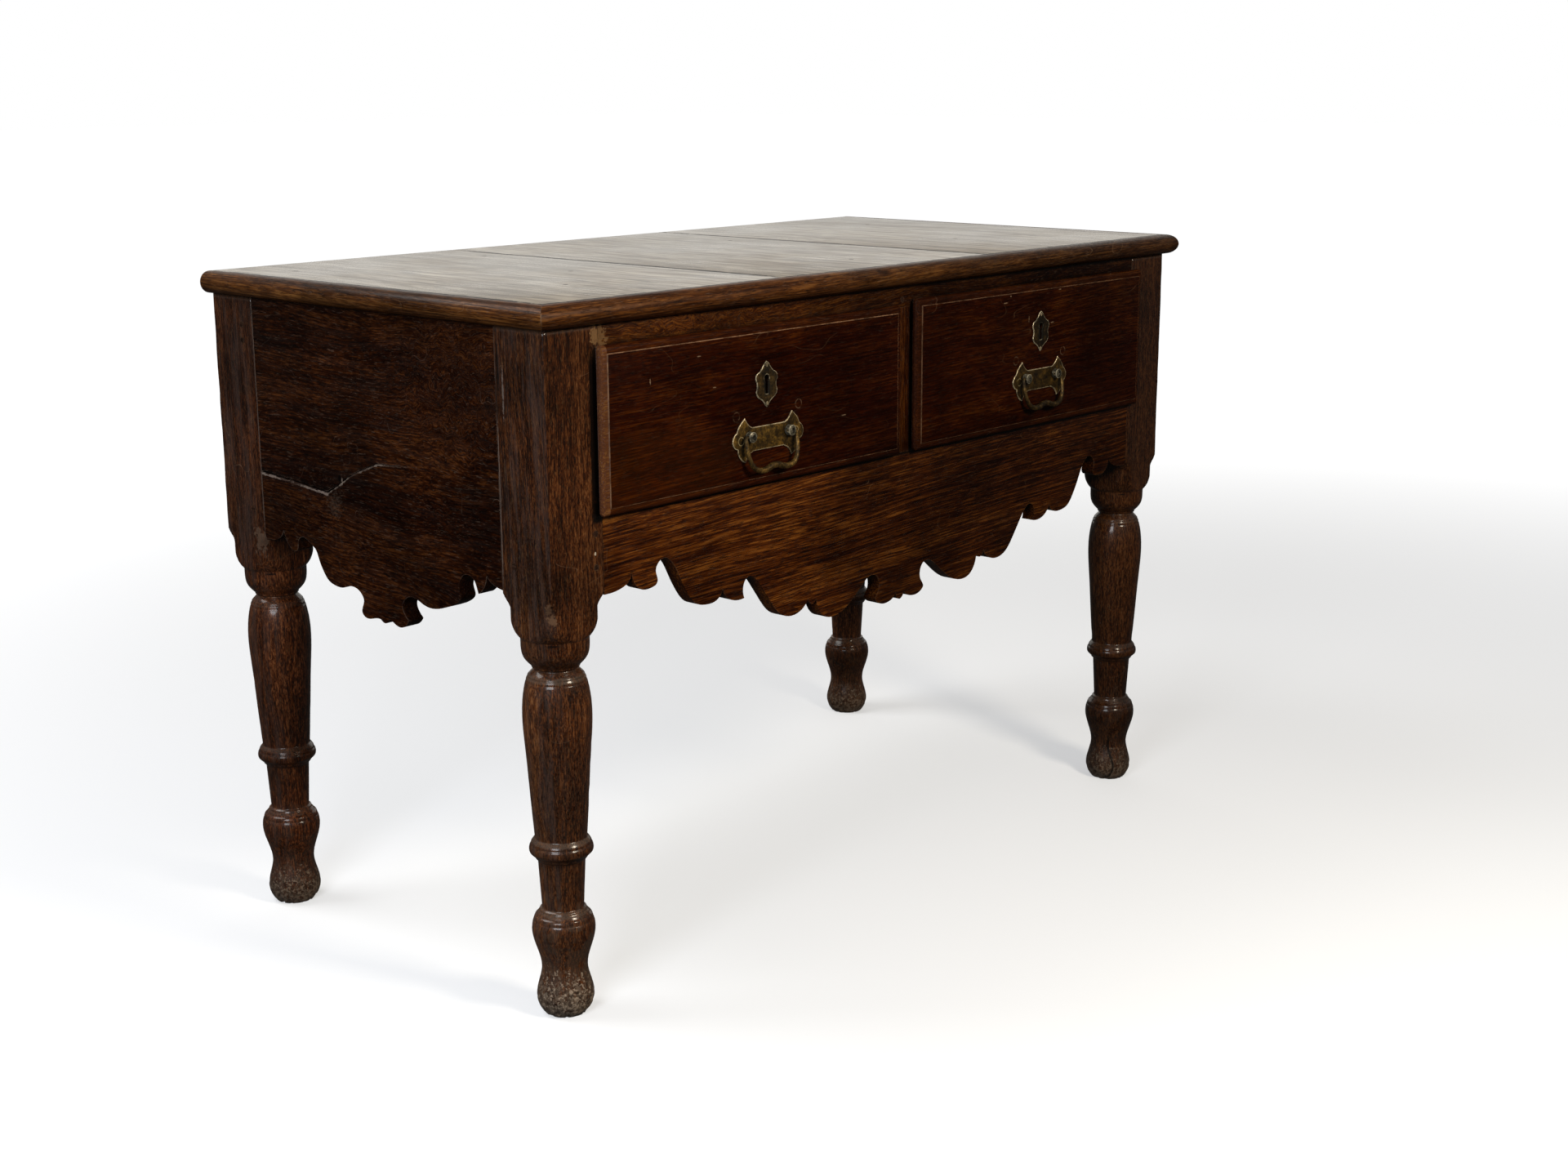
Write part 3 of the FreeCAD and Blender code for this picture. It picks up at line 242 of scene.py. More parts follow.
def roughened(tree, shader, height, strength, depth):
    """Fine relief on the surface."""
    bump = node(tree, "Bump", {"Height": height, "Strength": strength, "Distance": depth})
    tree.links.new(bump.outputs[0], shader.inputs["Normal"])


def hardwood(name, grain, start, tones, shade=(1.0, 1.0, 1.0), darker_along=None, bands=24.0,
             fleck=(60.0, 450.0), lines=(5.0, 620.0), twist=0.8, mix=(0.30, 0.30, 0.40), waviness=0.02,
             curl=None, patina=(0.6, 1.45), bloom=0.0, bloom_and_sheen_side=None, pore=(80.0, 1200.0),
             filled=0.12, fill=(0.16, 0.11, 0.08), worn=(0.13, 0.075, 0.042), wear=0.55,
             wear_width=0.0016, scratch=0.3, dust=(0.004, 0.0025, 0.002), grime_and_shade=0.75, gloss=0.32,
             matt_lines=0.10, shine=0.07, coat=0.04, coat_gloss=0.2):
    """Old waxed hardwood: figure, patina, bloom, pores, rubbed arrises, scratches, and dirt and painted
    shade in corners.
    """
    material, tree, shader = fresh_finish(name)
    tones = [(at, tuple(part * share for part, share in zip(tone, shade))) for at, tone in tones]
    place, board = along_grain(tree, grain, start)
    bent = waved(tree, board, waviness)
    if curl:
        bent = curled(tree, place, bent, *curl)
    figure, drawn = figured(tree, bent, bands, fleck, lines, twist, mix)

    mottle = speckle(tree, place, 7.0, 5.0, 0.62)
    lift = spread(tree, mottle, 0.34, 0.66, *patina)
    if darker_along:
        axis, first, last, share = darker_along
        along = node(tree, "SeparateXYZ", {0: place}).outputs[axis]
        lift = calc(tree, "MULTIPLY", lift, spread(tree, along, first, last, 1.0, share))
    lifted = node(tree, "CombineXYZ", {0: lift, 1: lift, 2: lift}).outputs[0]
    colour = blended(tree, 1.0, ramp(tree, figure, tones), lifted, "MULTIPLY")

    true = node(tree, "NewGeometry").outputs["Normal"]
    haze = spread(tree, speckle(tree, bent, (9.0, 130.0, 130.0), 4.0, 0.65), 0.42, 0.66)
    # Kept to the faces turned one way, the grey bloom is a painted sheen on those faces.
    if bloom_and_sheen_side:
        towards = measured(tree, "DOT_PRODUCT", true, bloom_and_sheen_side)
        haze = calc(tree, "MULTIPLY", haze, spread(tree, towards, 0.35, 0.85, 0.0, 1.0))
    colour = blended(tree, calc(tree, "MULTIPLY", haze, bloom), colour, BLOOM_AND_SHEEN_TONE)

    pores = spread(tree, speckle(tree, bent, (pore[0], pore[1], pore[1]), 1.0, 0.4), 0.58, 0.66)
    deep = tuple(part * 0.35 for part in tones[0][1])
    colour = blended(tree, calc(tree, "MULTIPLY", pores, 0.7), colour, deep)
    dusty = spread(tree, speckle(tree, bent, (95.0, 900.0, 900.0), 2.0, 0.5, 0.6), 0.61, 0.68)
    colour = blended(tree, calc(tree, "MULTIPLY", dusty, filled), colour, fill)

    edge = on_edges(tree, true, wear_width, 0.012, 0.15, 6)
    patchy = spread(tree, speckle(tree, place, 46.0, 4.0, 0.7), 0.36, 0.62)
    rubbed = calc(tree, "MULTIPLY", calc(tree, "MULTIPLY", edge, patchy), wear)
    marks = calc(tree, "MULTIPLY", scratched(tree, place, bent), scratch)
    pale = calc(tree, "MAXIMUM", rubbed, marks)
    colour = blended(tree, pale, colour, worn)
    # Darker in corners and hollows: dirt with painted shade; the tone is near black on most woods, a paler
    # dust on the legs.
    dirt = calc(tree, "MULTIPLY", in_corners(tree, GRIME_AND_SHADE_REACH, 0.30, 0.85, 1.0), grime_and_shade)
    colour = blended(tree, dirt, colour, dust)
    tree.links.new(colour, shader.inputs["Base Color"])

    rough = calc(tree, "ADD", spread(tree, mottle, 0.3, 0.7, gloss - 0.05, gloss + 0.09),
                 calc(tree, "MULTIPLY", pale, 0.2))
    matt = calc(tree, "MULTIPLY", calc(tree, "SUBTRACT", 1.0, figure), matt_lines)
    tree.links.new(calc(tree, "ADD", rough, matt), shader.inputs["Roughness"])
    shader.inputs["Specular IOR Level"].default_value = shine
    shader.inputs["Coat Weight"].default_value = coat
    shader.inputs["Coat Roughness"].default_value = coat_gloss
    height = calc(tree, "ADD", calc(tree, "MULTIPLY", drawn, 0.14), calc(tree, "MULTIPLY", mottle, 0.9))
    height = calc(tree, "SUBTRACT", height, calc(tree, "MULTIPLY", pores, 0.4))
    roughened(tree, shader, height, 0.6, RELIEF_DEPTH)
    return material


def laid_over(finish, share, tone):
    """Another tone over the colour that a finish has so far."""
    tree = finish.node_tree
    base = tree.nodes["Principled BSDF"].inputs["Base Color"]
    tree.links.new(blended(tree, share, base.links[0].from_socket, tone), base)


def marked(finish, spot, reach, tone, share, ragged=0.5, square=False, grit=None, dull=0.0):
    """A stain, scuff or chip of another tone, round or square, with a ragged outline."""
    tree = finish.node_tree
    place = placed_on(tree)
    apart = vectors(tree, "DIVIDE", vectors(tree, "SUBTRACT", place, spot), reach)
    if square:
        sides = node(tree, "SeparateXYZ", {0: vectors(tree, "ABSOLUTE", apart)}).outputs
        far = calc(tree, "MAXIMUM", calc(tree, "MAXIMUM", sides[0], sides[1]), sides[2])
    else:
        far = measured(tree, "LENGTH", apart)
    grit = grit or 0.6 / max(FINEST_MARK, min(reach))
    stray = calc(tree, "SUBTRACT", speckle(tree, place, grit, 4.0, 0.7), 0.5)
    far = calc(tree, "ADD", far, calc(tree, "MULTIPLY", stray, ragged * 4))
    inside = spread(tree, far, 0.72, 1.05, share, 0.0)
    laid_over(finish, inside, tone)
    if dull:
        polish = tree.nodes["Principled BSDF"].inputs["Roughness"]
        duller = calc(tree, "MULTIPLY", inside, dull)
        tree.links.new(calc(tree, "ADD", polish.links[0].from_socket, duller, clamp=True), polish)


def put_in(work, name):
    """A finished mesh as a piece of the scene."""
    mesh = bpy.data.meshes.new(name)
    work.to_mesh(mesh)
    work.free()
    piece = bpy.data.objects.new(name, mesh)
    bpy.context.scene.collection.objects.link(piece)
    return piece


def skinned(work, rows):
    """A closed skin over rows of equal count, capped flat at both ends."""
    count = len(rows[0])
    for low, high in zip(rows, rows[1:]):
        for index in range(count):
            after = (index + 1) % count
            work.faces.new((low[index], low[after], high[after], high[index]))
    work.faces.new(rows[0][::-1])
    work.faces.new(rows[-1])


LEG_TONES = [(0.12, (0.0078, 0.0018, 0.0004)), (0.42, (0.035, 0.0095, 0.0022)),
             (0.66, (0.082, 0.0270, 0.0080)), (0.92, (0.150, 0.062, 0.024))]
# Each leg has its place in the log, its shade and its share of dust; the right-hand legs' darker shades are
# painted shade, the light falling off to the right.
LEGS = {"leg_front_left": ((0.31, 0.055, 0.02), (1.04, 0.97, 0.82), 0.95),
        "leg_front_right": ((1.7, 0.05, 0.035), (0.42, 0.38, 0.30), 0.3),
        "leg_back_left": ((2.9, 0.06, -0.03), (1.0, 0.84, 0.74), 0.4),
        "leg_back_right": ((4.3, -0.05, 0.03), (0.7, 0.65, 0.6), 0.4)}
# Each scribed line has its level, depth and half width.
SCRIBED = ((0.3735, 0.0007, 0.0011), (0.3690, 0.0005, 0.0009), (0.1905, 0.0007, 0.0012),
           (0.1800, 0.0005, 0.0010), (0.1120, 0.0006, 0.0011), (0.1060, 0.0005, 0.0010))
# Dust in the turnings has its level and half height.
DUST_BANDS = ((0.3735, 0.0034), (0.1955, 0.0024), (0.1165, 0.0036))
ROUND_LEG = 0.06
# Each scuff of a foot, and the dark band at its very bottom, has its level, half height, tone, share,
# raggedness, shape and fineness.
FOOT_SCUFFS = ((0.19, 0.205, (0.105, 0.072, 0.050), 0.09, 2.2, True, 330.0),
               (0.0, 0.115, (0.064, 0.045, 0.032), 0.42, 0.8, False, 60.0),
               (0.0, 0.036, (0.125, 0.090, 0.064), 0.8, 1.3, False, 170.0),
               (-0.004, 0.024, (0.38, 0.295, 0.215), 0.70, 2.8, False, 250.0),
               (0.003, 0.020, (0.012, 0.008, 0.006), 0.6, 3.2, False, 190.0))
PALE_ARRIS = (0.17, 0.125, 0.10)
KNEE_LEVEL = 0.4125


def turned_radii(name, centre):
    """Level and radius up the turning, read from the solid and rubbed a little round."""
    widest = {}
    for vertex in frame["nodes"][name].data.vertices:
        level = round(vertex.co.z, 6)
        if level < SQUARE_LEVEL:
            radius = math.hypot(vertex.co.x - centre.x, vertex.co.y - centre.y)
            widest[level] = max(widest.get(level, 0), radius)
    marks = sorted(widest.items())
    even, index = [], 0
    for step in range(int(SQUARE_LEVEL / RING_STEP)):
        level = step * RING_STEP
        while index < len(marks) - 2 and marks[index + 1][0] < level:
            index += 1
        (low, near), (high, far) = marks[index], marks[index + 1]
        share = min(1, max(0, (level - low) / (high - low)))
        even.append((level, near + (far - near) * share))
    rounded = [even[0]]
    for index in range(1, len(even) - 1):
        level = even[index][0]
        radius = (even[index - 1][1] + 2 * even[index][1] + even[index + 1][1]) / 4
        for line, depth, half in SCRIBED:
            radius -= depth * math.exp(-((level - line) / half) ** 2)
        rounded.append((level, radius))
    kept = [rounded[0]]
    last = 0
    for index in range(2, len(rounded)):
        (low, near), (high, far) = rounded[last], rounded[index]
        bow = max(abs(radius - near - (far - near) * (level - low) / (high - low))
                  for level, radius in rounded[last:index])
        if bow > RING_SLACK or high - low > LONGEST_STEP:
            last = index - 1
            kept.append(rounded[last])
    return kept


def square_radius(turn, half, round_off):
    """How far the outline of the square stick, with its arrises rubbed round, lies from its axis."""
    turn = abs((turn + math.pi / 4) % (math.pi / 2) - math.pi / 4)
    flat = half / math.cos(turn)
    corner = half - round_off
    if flat * math.sin(turn) <= corner:
        return flat
    reach = corner * (math.cos(turn) + math.sin(turn))
    return reach + math.sqrt(max(0, round_off ** 2 - 2 * corner ** 2 + reach ** 2))


def leg_turns():
    """The angles round a leg, closer together over the four arrises."""
    turns = []
    flat = math.pi / 4 - ARRIS_SPREAD
    for quarter in range(4):
        middle = quarter * math.pi / 2
        turns += [middle - flat + 2 * flat * step / FLAT_STEPS for step in range(FLAT_STEPS)]
        turns += [middle + flat + 2 * ARRIS_SPREAD * step / ARRIS_STEPS for step in range(ARRIS_STEPS)]
    return turns


def turned_leg(name, seed):
    """One leg from foot to top: the lesser of the worn square and the turning at every angle."""
    low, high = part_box(name)
    centre = (low + high) / 2
    half = (high.x - low.x) / 2
    post = high.z - SQUARE_LEVEL
    levels = turned_radii(name, centre)
    count = int(post / POST_STEP)
    levels += [(SQUARE_LEVEL + post * step / count, 2 * half) for step in range(count + 1)]
    work = bmesh.new()
    rows = []
    for level, radius in levels:
        row = []
        for turn in leg_turns():
            way = Vector((math.cos(turn), math.sin(turn), 0))
            spot = Vector((seed, 0, level)) + way * WAVER_REACH
            worn = ARRIS_WEAR * (0.75 + 1.1 * abs(noise.noise(spot * 24)))
            reach = min(radius, square_radius(turn, half, worn))
            dent = max(0, noise.noise(spot * 70) - 0.35) * DENT_DEPTH
            scuff = max(0, noise.noise(spot * 110) + 0.5 * noise.noise(spot * 320)) * SCUFF_DEPTH
            scuff *= max(0, 1 - level / FOOT_WEAR_LEVEL)
            reach -= dent + scuff + WAVER_DEPTH * abs(noise.noise(spot * 11))
            row.append(work.verts.new(Vector((centre.x, centre.y, level)) + way * reach))
        rows.append(row)
    skinned(work, rows)
    for face in work.faces:
        face.smooth = len(face.verts) == 4
    for edge in work.edges:
        edge.smooth = edge.calc_face_angle(0) < CREASE
    return put_in(work, name.replace("leg", "turned_leg"))


def scarred(wood, name, low, high):
    """What age left on a front post: chips and rubbed corners, with painted shadow in the gaps beside the
    drawer.
    """
    if name == "leg_front_left":
        # A chip beside the rail, and the corner rubbed pale over the turning.
        marked(wood, (-0.4882, low.y, 0.724), (0.0065, 0.006, 0.0105), (0.16, 0.090, 0.038), 0.75, 0.9,
               grit=240.0)
        marked(wood, (low.x, low.y, 0.4445), (0.009, 0.009, 0.014), (0.14, 0.078, 0.043), 0.65, 0.7,
               grit=130.0)
        # The joint with the side board, rubbed pale in places and opened in others.
        marked(wood, (low.x, high.y - 0.0024, 0.555), (0.004, 0.0008, 0.085), (0.18, 0.135, 0.11), 0.6,
               0.3, square=True)
        marked(wood, (low.x, high.y - 0.0050, 0.690), (0.004, 0.0018, 0.032), GAP_SHADE_AND_DIRT, 0.8, 0.6,
               grit=260.0)
        marked(wood, (low.x, high.y - 0.0120, 0.668), (0.004, 0.0012, 0.024), (0.17, 0.135, 0.115),
               0.6, 0.8, grit=240.0)
        # Painted shadow in the gap beside the drawer and below it, and one pale nick.
        marked(wood, (-0.4915, low.y, 0.6270), (0.0068, 0.003, 0.090), GAP_SHADE_AND_DIRT, 0.97, 0.06, square=True)
        marked(wood, (-0.4895, low.y, 0.5440), (0.0088, 0.003, 0.012), GAP_SHADE_AND_DIRT, 0.95, 0.15, square=True)
        marked(wood, (-0.4950, low.y, 0.5025), (0.0015, 0.004, 0.0022), (0.42, 0.36, 0.28), 0.9, 0.3)
    if name == "leg_front_right":
        # Painted shadow in the gap beside the drawer, and a crack up the foot.
        marked(wood, (0.488, low.y, 0.630), (0.0042, 0.003, 0.092), GAP_SHADE_AND_DIRT, 0.95, 0.02, square=True)
        marked(wood, (0.499, low.y + 0.012, 0.032), (0.0011, 0.02, 0.036), GAP_SHADE_AND_DIRT, 0.85, 0.35,
               square=True)


for index, (name, (start, shade, dust)) in enumerate(LEGS.items()):
    low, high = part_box(name)
    centre = (low + high) / 2
    shift = Vector(start) - Vector((0, centre.x, centre.y))
    # The legs' outward faces carry the grey bloom as a painted sheen.
    outward = (math.copysign(1, centre.x), 0, 0)
    # The square post above the turning is darker than the turning.
    wood = hardwood("leg_wood_" + name[4:], "z", shift, LEG_TONES, shade=shade,
                    darker_along=(2, 0.40, 0.47, 0.64), fleck=(100.0, 370.0), lines=(20.0, 560.0), twist=1.8,
                    mix=(0.22, 0.42, 0.36), bloom=0.5, bloom_and_sheen_side=outward, filled=0.26,
                    fill=(0.15, 0.082, 0.036), worn=(0.19, 0.115, 0.07), wear=0.5,
                    dust=(0.040, 0.026, 0.018), gloss=0.27, shine=0.1, coat=0.42, coat_gloss=0.13)
    for level, half, tone, share, ragged, square, grit in FOOT_SCUFFS:
        marked(wood, (centre.x, centre.y, level), (ROUND_LEG, ROUND_LEG, half), tone, share * dust,
               ragged, square, grit)
    scarred(wood, name, low, high)
    # A dark line at the corner toward the front left, just under the shoulder: painted shadow of the
    # overhanging corner.
    marked(wood, (low.x, low.y, KNEE_LEVEL), (0.017, 0.017, 0.0011), GAP_SHADE_AND_DIRT, 0.9, 0.2, square=True)
    for level, half in DUST_BANDS:
        marked(wood, (centre.x, centre.y, level), (ROUND_LEG, ROUND_LEG, half), (0.105, 0.078, 0.056),
               0.30 * dust, 0.6, True, 90.0)
    inner = low.y if centre.y > 0 else high.y
    for edge in (low.x, high.x):
        marked(wood, (edge, inner, 0.6), (0.004, 0.0010, 0.14), PALE_ARRIS, 0.40, 0.25, square=True)
    if name == "leg_back_left":
        marked(wood, (low.x, low.y + 0.006, 0.452), (0.006, 0.014, 0.018), (0.12, 0.075, 0.050), 0.6,
               1.0, grit=150.0)
    piece = turned_leg(name, SEED_STEP * index)
    piece.data.materials.append(wood)
    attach(piece, "case")
    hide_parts(name)

# ---------------------------------------------------------------- boards of the case
# The front board, rail, upright, side boards and back board are planed planks tenoned and pegged
# into the legs; the scrolled lower edges were sawn and left with the saw's slight waver.
BOARD_WEAR = 0.0009
WELD_REACH = 0.000002
FLAT_ANGLE = math.radians(0.6)
SHARP_ANGLE = math.radians(40)


def rubbed_copy(node_name, name, width):
    """A copy of the solid with its sharp arrises rubbed round."""
    work = bmesh.new()
    work.from_mesh(frame["nodes"][node_name].data)
    bmesh.ops.remove_doubles(work, verts=work.verts, dist=WELD_REACH)
    bmesh.ops.dissolve_limit(work, angle_limit=FLAT_ANGLE, verts=work.verts, edges=work.edges)
    sharp = [edge for edge in work.edges
             if edge.is_manifold and edge.calc_face_angle(0) > SHARP_ANGLE]
    bmesh.ops.bevel(work, geom=sharp, offset=width, offset_type="OFFSET", segments=2, profile=0.6,
                    affect="EDGES", clamp_overlap=True)
    for face in work.faces:
        face.smooth = True
    for edge in work.edges:
        edge.smooth = edge.calc_face_angle(0) < CREASE
    piece = put_in(work, name)
    if "custom_normal" in piece.data.attributes:
        piece.data.attributes.remove(piece.data.attributes["custom_normal"])
    return piece


def fitted(node_name, name, width, wood, body):
    """A rubbed copy of a solid with its finish, in the place of the plain one."""
    piece = rubbed_copy(node_name, name, width)
    piece.data.materials.clear()
    piece.data.materials.append(wood)
    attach(piece, body)
    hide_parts(node_name)
    return piece


APRON_TONES = [(0.08, (0.0080, 0.0013, 0.0002)), (0.42, (0.029, 0.0060, 0.0006)),
               (0.68, (0.068, 0.0180, 0.0021)), (0.95, (0.135, 0.046, 0.0070))]
# The front board darkens to the right: painted falloff of the light from the left.
apron_wood = hardwood("apron_wood", "x", (0.4, 0.31, 0.03), APRON_TONES, darker_along=(0, -0.45, 0.2, 0.62),
                      bands=36.0, fleck=(30.0, 520.0), lines=(4.0, 600.0), twist=0.4,
                      mix=(0.20, 0.32, 0.48), filled=0.08)
apron_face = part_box("front_apron")[0].y
drawer_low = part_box("drawer_front_left")[0].z
# A dark band along the top of the front board, under the drawers' lips: painted shadow.
marked(apron_wood, (0.0, apron_face, drawer_low), (0.5, 0.003, 0.0042), GAP_SHADE_AND_DIRT, 0.9, 0.08, square=True)
fitted("front_apron", "scrolled_apron", BOARD_WEAR, apron_wood, "case")

RAIL_CHIP = (-0.483, -0.2658, 0.722)
rail_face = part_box("front_rail")[0].y
rail_curl = ((-0.33, rail_face, 0.728), (0.16, 0.05, 0.03), 0.028)
# The rail darkens to the right: painted falloff of the light.
rail_wood = hardwood("rail_wood", "x", (1.9, 0.2, 0.05), APRON_TONES, shade=(0.8, 0.8, 0.8),
                     darker_along=(0, -0.38, 0.10, 0.28), fleck=(55.0, 380.0), lines=(6.0, 500.0), twist=1.2,
                     mix=(0.3, 0.35, 0.35), waviness=0.05, curl=rail_curl, patina=(0.45, 1.3))
marked(rail_wood, RAIL_CHIP, (0.012, 0.004, 0.012), (0.15, 0.083, 0.035), 0.6, 1.0, grit=220.0)
fitted("front_rail", "rail_over_drawers", BOARD_WEAR, rail_wood, "case")
# The upright between the drawers is darkened to less than half: painted shade.
upright_wood = hardwood("upright_wood", "z", (2.3, 0.12, 0.2), APRON_TONES, shade=(0.42, 0.40, 0.38))
fitted("muntin", "upright", BOARD_WEAR, upright_wood, "case")

SIDE_TONES = [(0.10, (0.0026, 0.0005, 0.0001)), (0.42, (0.0088, 0.0018, 0.0003)),
              (0.68, (0.022, 0.0053, 0.0010)), (0.95, (0.055, 0.0175, 0.0042))]
# The shake in the left side board, from the back forward: each point has its y, level and width.
CRACK = ((0.2193, 0.5370, 0.0048), (0.1650, 0.5345, 0.0036), (0.0962, 0.5285, 0.0038),
         (0.0760, 0.5390, 0.0022), (0.0532, 0.5530, 0.0022), (0.0062, 0.5710, 0.0011),
         (-0.0300, 0.5735, 0.0008), (-0.0888, 0.5745, 0.0004))
CRACK_DEPTH = 0.0035
CRACK_STEP = 0.003
CRACK_STRAY = 0.0011
LINE_STRAY = 0.005
CUTTER_SPARE = 0.001


def cut_away(piece, cutter, operation="DIFFERENCE"):
    """The piece with the cutter's shape taken out of it, or only what lies inside the cutter."""
    tool = piece.modifiers.new("cut", "BOOLEAN")
    tool.operation = operation
    tool.solver = "EXACT"
    tool.object = cutter
    bpy.context.view_layer.update()
    cut = bpy.data.meshes.new_from_object(piece.evaluated_get(bpy.context.evaluated_depsgraph_get()))
    piece.modifiers.remove(tool)
    piece.data = cut
    bpy.data.objects.remove(cutter)


def crack_cutter(line, face, depth):
    """A ragged wedge along a line of width, which opens a shake in the face of a board."""
    work = bmesh.new()
    rows = []
    for (y0, z0, wide0), (y1, z1, wide1) in zip(line, line[1:]):
        steps = max(1, round(math.hypot(y1 - y0, z1 - z0) / CRACK_STEP))
        for step in range(steps + (line[-1] == (y1, z1, wide1))):
            share = step / steps
            spot = Vector((0, y0 + (y1 - y0) * share, z0 + (z1 - z0) * share))
            wide = (wide0 + (wide1 - wide0) * share) * (0.75 + 0.8 * abs(noise.noise(spot * 160)))
            level = spot.z + CRACK_STRAY * noise.noise(spot * 90)
            rows.append([work.verts.new((face - CUTTER_SPARE, spot.y, level + wide * 0.55)),
                         work.verts.new((face + depth * wide / line[0][2], spot.y, level)),
                         work.verts.new((face - CUTTER_SPARE, spot.y, level - wide * 0.55))])
    skinned(work, rows)
    bmesh.ops.recalc_face_normals(work, faces=work.faces)
    return put_in(work, "crack")


def lined(wood, line, drop, width, tone, share):
    """A ragged line of another tone beside a crack, broken where the lip of the crack is whole."""
    tree = wood.node_tree
    place = placed_on(tree)
    flat = vectors(tree, "MULTIPLY", place, (0.0, 1.0, 1.0))
    nearest = 1.0
    for (y0, z0, _), (y1, z1, _) in zip(line, line[1:]):
        run = Vector((0, y1 - y0, z1 - z0))
        from_first = vectors(tree, "SUBTRACT", flat, Vector((0, y0, z0 - drop)))
        along = measured(tree, "DOT_PRODUCT", from_first, run / run.length_squared)
        on_line = scaled(tree, run, calc(tree, "MULTIPLY", along, 1.0, clamp=True))
        nearest = calc(tree, "MINIMUM", nearest, measured(tree, "DISTANCE", from_first, on_line))
    stray = calc(tree, "SUBTRACT", speckle(tree, place, 190.0, 4.0, 0.7), 0.5)
    nearest = calc(tree, "ADD", nearest, calc(tree, "MULTIPLY", stray, LINE_STRAY))
    inside = spread(tree, nearest, width * 0.4, width, share, 0.0)
    broken = spread(tree, speckle(tree, place, 60.0, 3.0, 0.6), 0.40, 0.54, 0.15, 1.0)
    laid_over(wood, calc(tree, "MULTIPLY", inside, broken), tone)


for hand, start in (("left", (3.1, 0.5, 0.06)), ("right", (5.2, 0.45, -0.07))):
    low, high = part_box("side_board_" + hand)
    outer = low.x if hand == "left" else high.x
    wood = hardwood("side_wood_" + hand, "y", start, SIDE_TONES, bands=18.0, fleck=(60.0, 430.0),
                    lines=(7.0, 520.0), twist=1.2, mix=(0.30, 0.34, 0.36), waviness=0.07,
                    curl=((outer, -0.13, 0.665), (0.05, 0.13, 0.10), 0.045), bloom=0.08, filled=0.20,
                    worn=(0.16, 0.12, 0.095), wear=0.8, scratch=0.35, shine=0.03)
    marked(wood, (outer, low.y + 0.0030, 0.665), (0.004, 0.0042, 0.075), GAP_SHADE_AND_DIRT, 0.97, 0.12, square=True)
    marked(wood, (outer, low.y + 0.0010, 0.530), (0.004, 0.0026, 0.07), GAP_SHADE_AND_DIRT, 0.85, 0.15, square=True)
    if hand == "left":
        # Painted shadow above the first part of the shake and painted shade along its narrow part, its pale
        # lower lip, and the bruise where it turns.
        lined(wood, CRACK[:3], -0.0026, 0.0042, GAP_SHADE_AND_DIRT, 0.85)
        lined(wood, CRACK[2:6], 0.0, 0.0016, GAP_SHADE_AND_DIRT, 0.8)
        lined(wood, CRACK[:3], 0.0026, 0.0015, (0.21, 0.165, 0.14), 0.75)
        lined(wood, CRACK[2:7], 0.0014, 0.0009, (0.17, 0.135, 0.11), 0.75)
        marked(wood, (outer, 0.0735, 0.5470), (0.004, 0.0030, 0.0040), GAP_SHADE_AND_DIRT, 0.9, 0.5)
        marked(wood, (outer, 0.0690, 0.5440), (0.004, 0.0014, 0.0040), (0.20, 0.16, 0.13), 0.8, 0.6)
        marked(wood, (outer, 0.0860, 0.5160), (0.004, 0.0090, 0.0110), (0.17, 0.13, 0.10), 0.12, 2.6,
               grit=420.0)
    side = fitted("side_board_" + hand, "scrolled_side_" + hand, BOARD_WEAR, wood, "case")
    if hand == "left":
        cut_away(side, crack_cutter(CRACK, outer, CRACK_DEPTH))

BACK_TONES = [(0.0, (0.03, 0.018, 0.010)), (0.5, (0.08, 0.047, 0.024)), (1.0, (0.17, 0.11, 0.065))]
back_wood = hardwood("back_wood", "x", (6.4, 0.35, 0.04), BACK_TONES, wear=0.3, gloss=0.6, coat=0.0)
fitted("back_board", "plain_back", BOARD_WEAR, back_wood, "case")

# ---------------------------------------------------------------- pegs
# Riven pegs driven through the tenons and cut off almost flush; their dark end grain stands proud
# where the posts have shrunk round them.
PEG_TONES = [(0.0, (0.006, 0.003, 0.002)), (0.6, (0.022, 0.009, 0.005)), (1.0, (0.05, 0.022, 0.012))]


def finished(node_name, finish):
    """A solid left as it is, with its finish."""
    frame["nodes"][node_name].data.materials[0] = finish


peg_wood = hardwood("peg_end_grain", "y", (7.7, 0.2, 0.1), PEG_TONES, gloss=0.5, coat=0.0)
for name in ("pegs_front", "pegs_back", "pegs_left", "pegs_right"):
    finished(name, peg_wood)

# ---------------------------------------------------------------- runners, guides and kickers
# Rough-sawn softwood that nobody sees: the drawers run on it, and it has gone brown and dusty.
# Three-cornered blocks of the same wood are glued under the top.
PINE_TONES = [(0.0, (0.06, 0.035, 0.018)), (0.5, (0.15, 0.094, 0.05)), (1.0, (0.26, 0.175, 0.10))]
for name in ("runner", "guide", "kicker"):
    for part, start in (("left", 0.3), ("centre", 1.3), ("right", 2.1)):
        wood = hardwood("%s_wood_%s" % (name, part), "y", (start, 0.1, 0.15), PINE_TONES, wear=0.2,
                        gloss=0.65, coat=0.0)
        finished("%s_%s" % (name, part), wood)
finished("glue_blocks", hardwood("block_wood", "x", (3.3, 0.1, 0.2), PINE_TONES, gloss=0.65, coat=0.0))

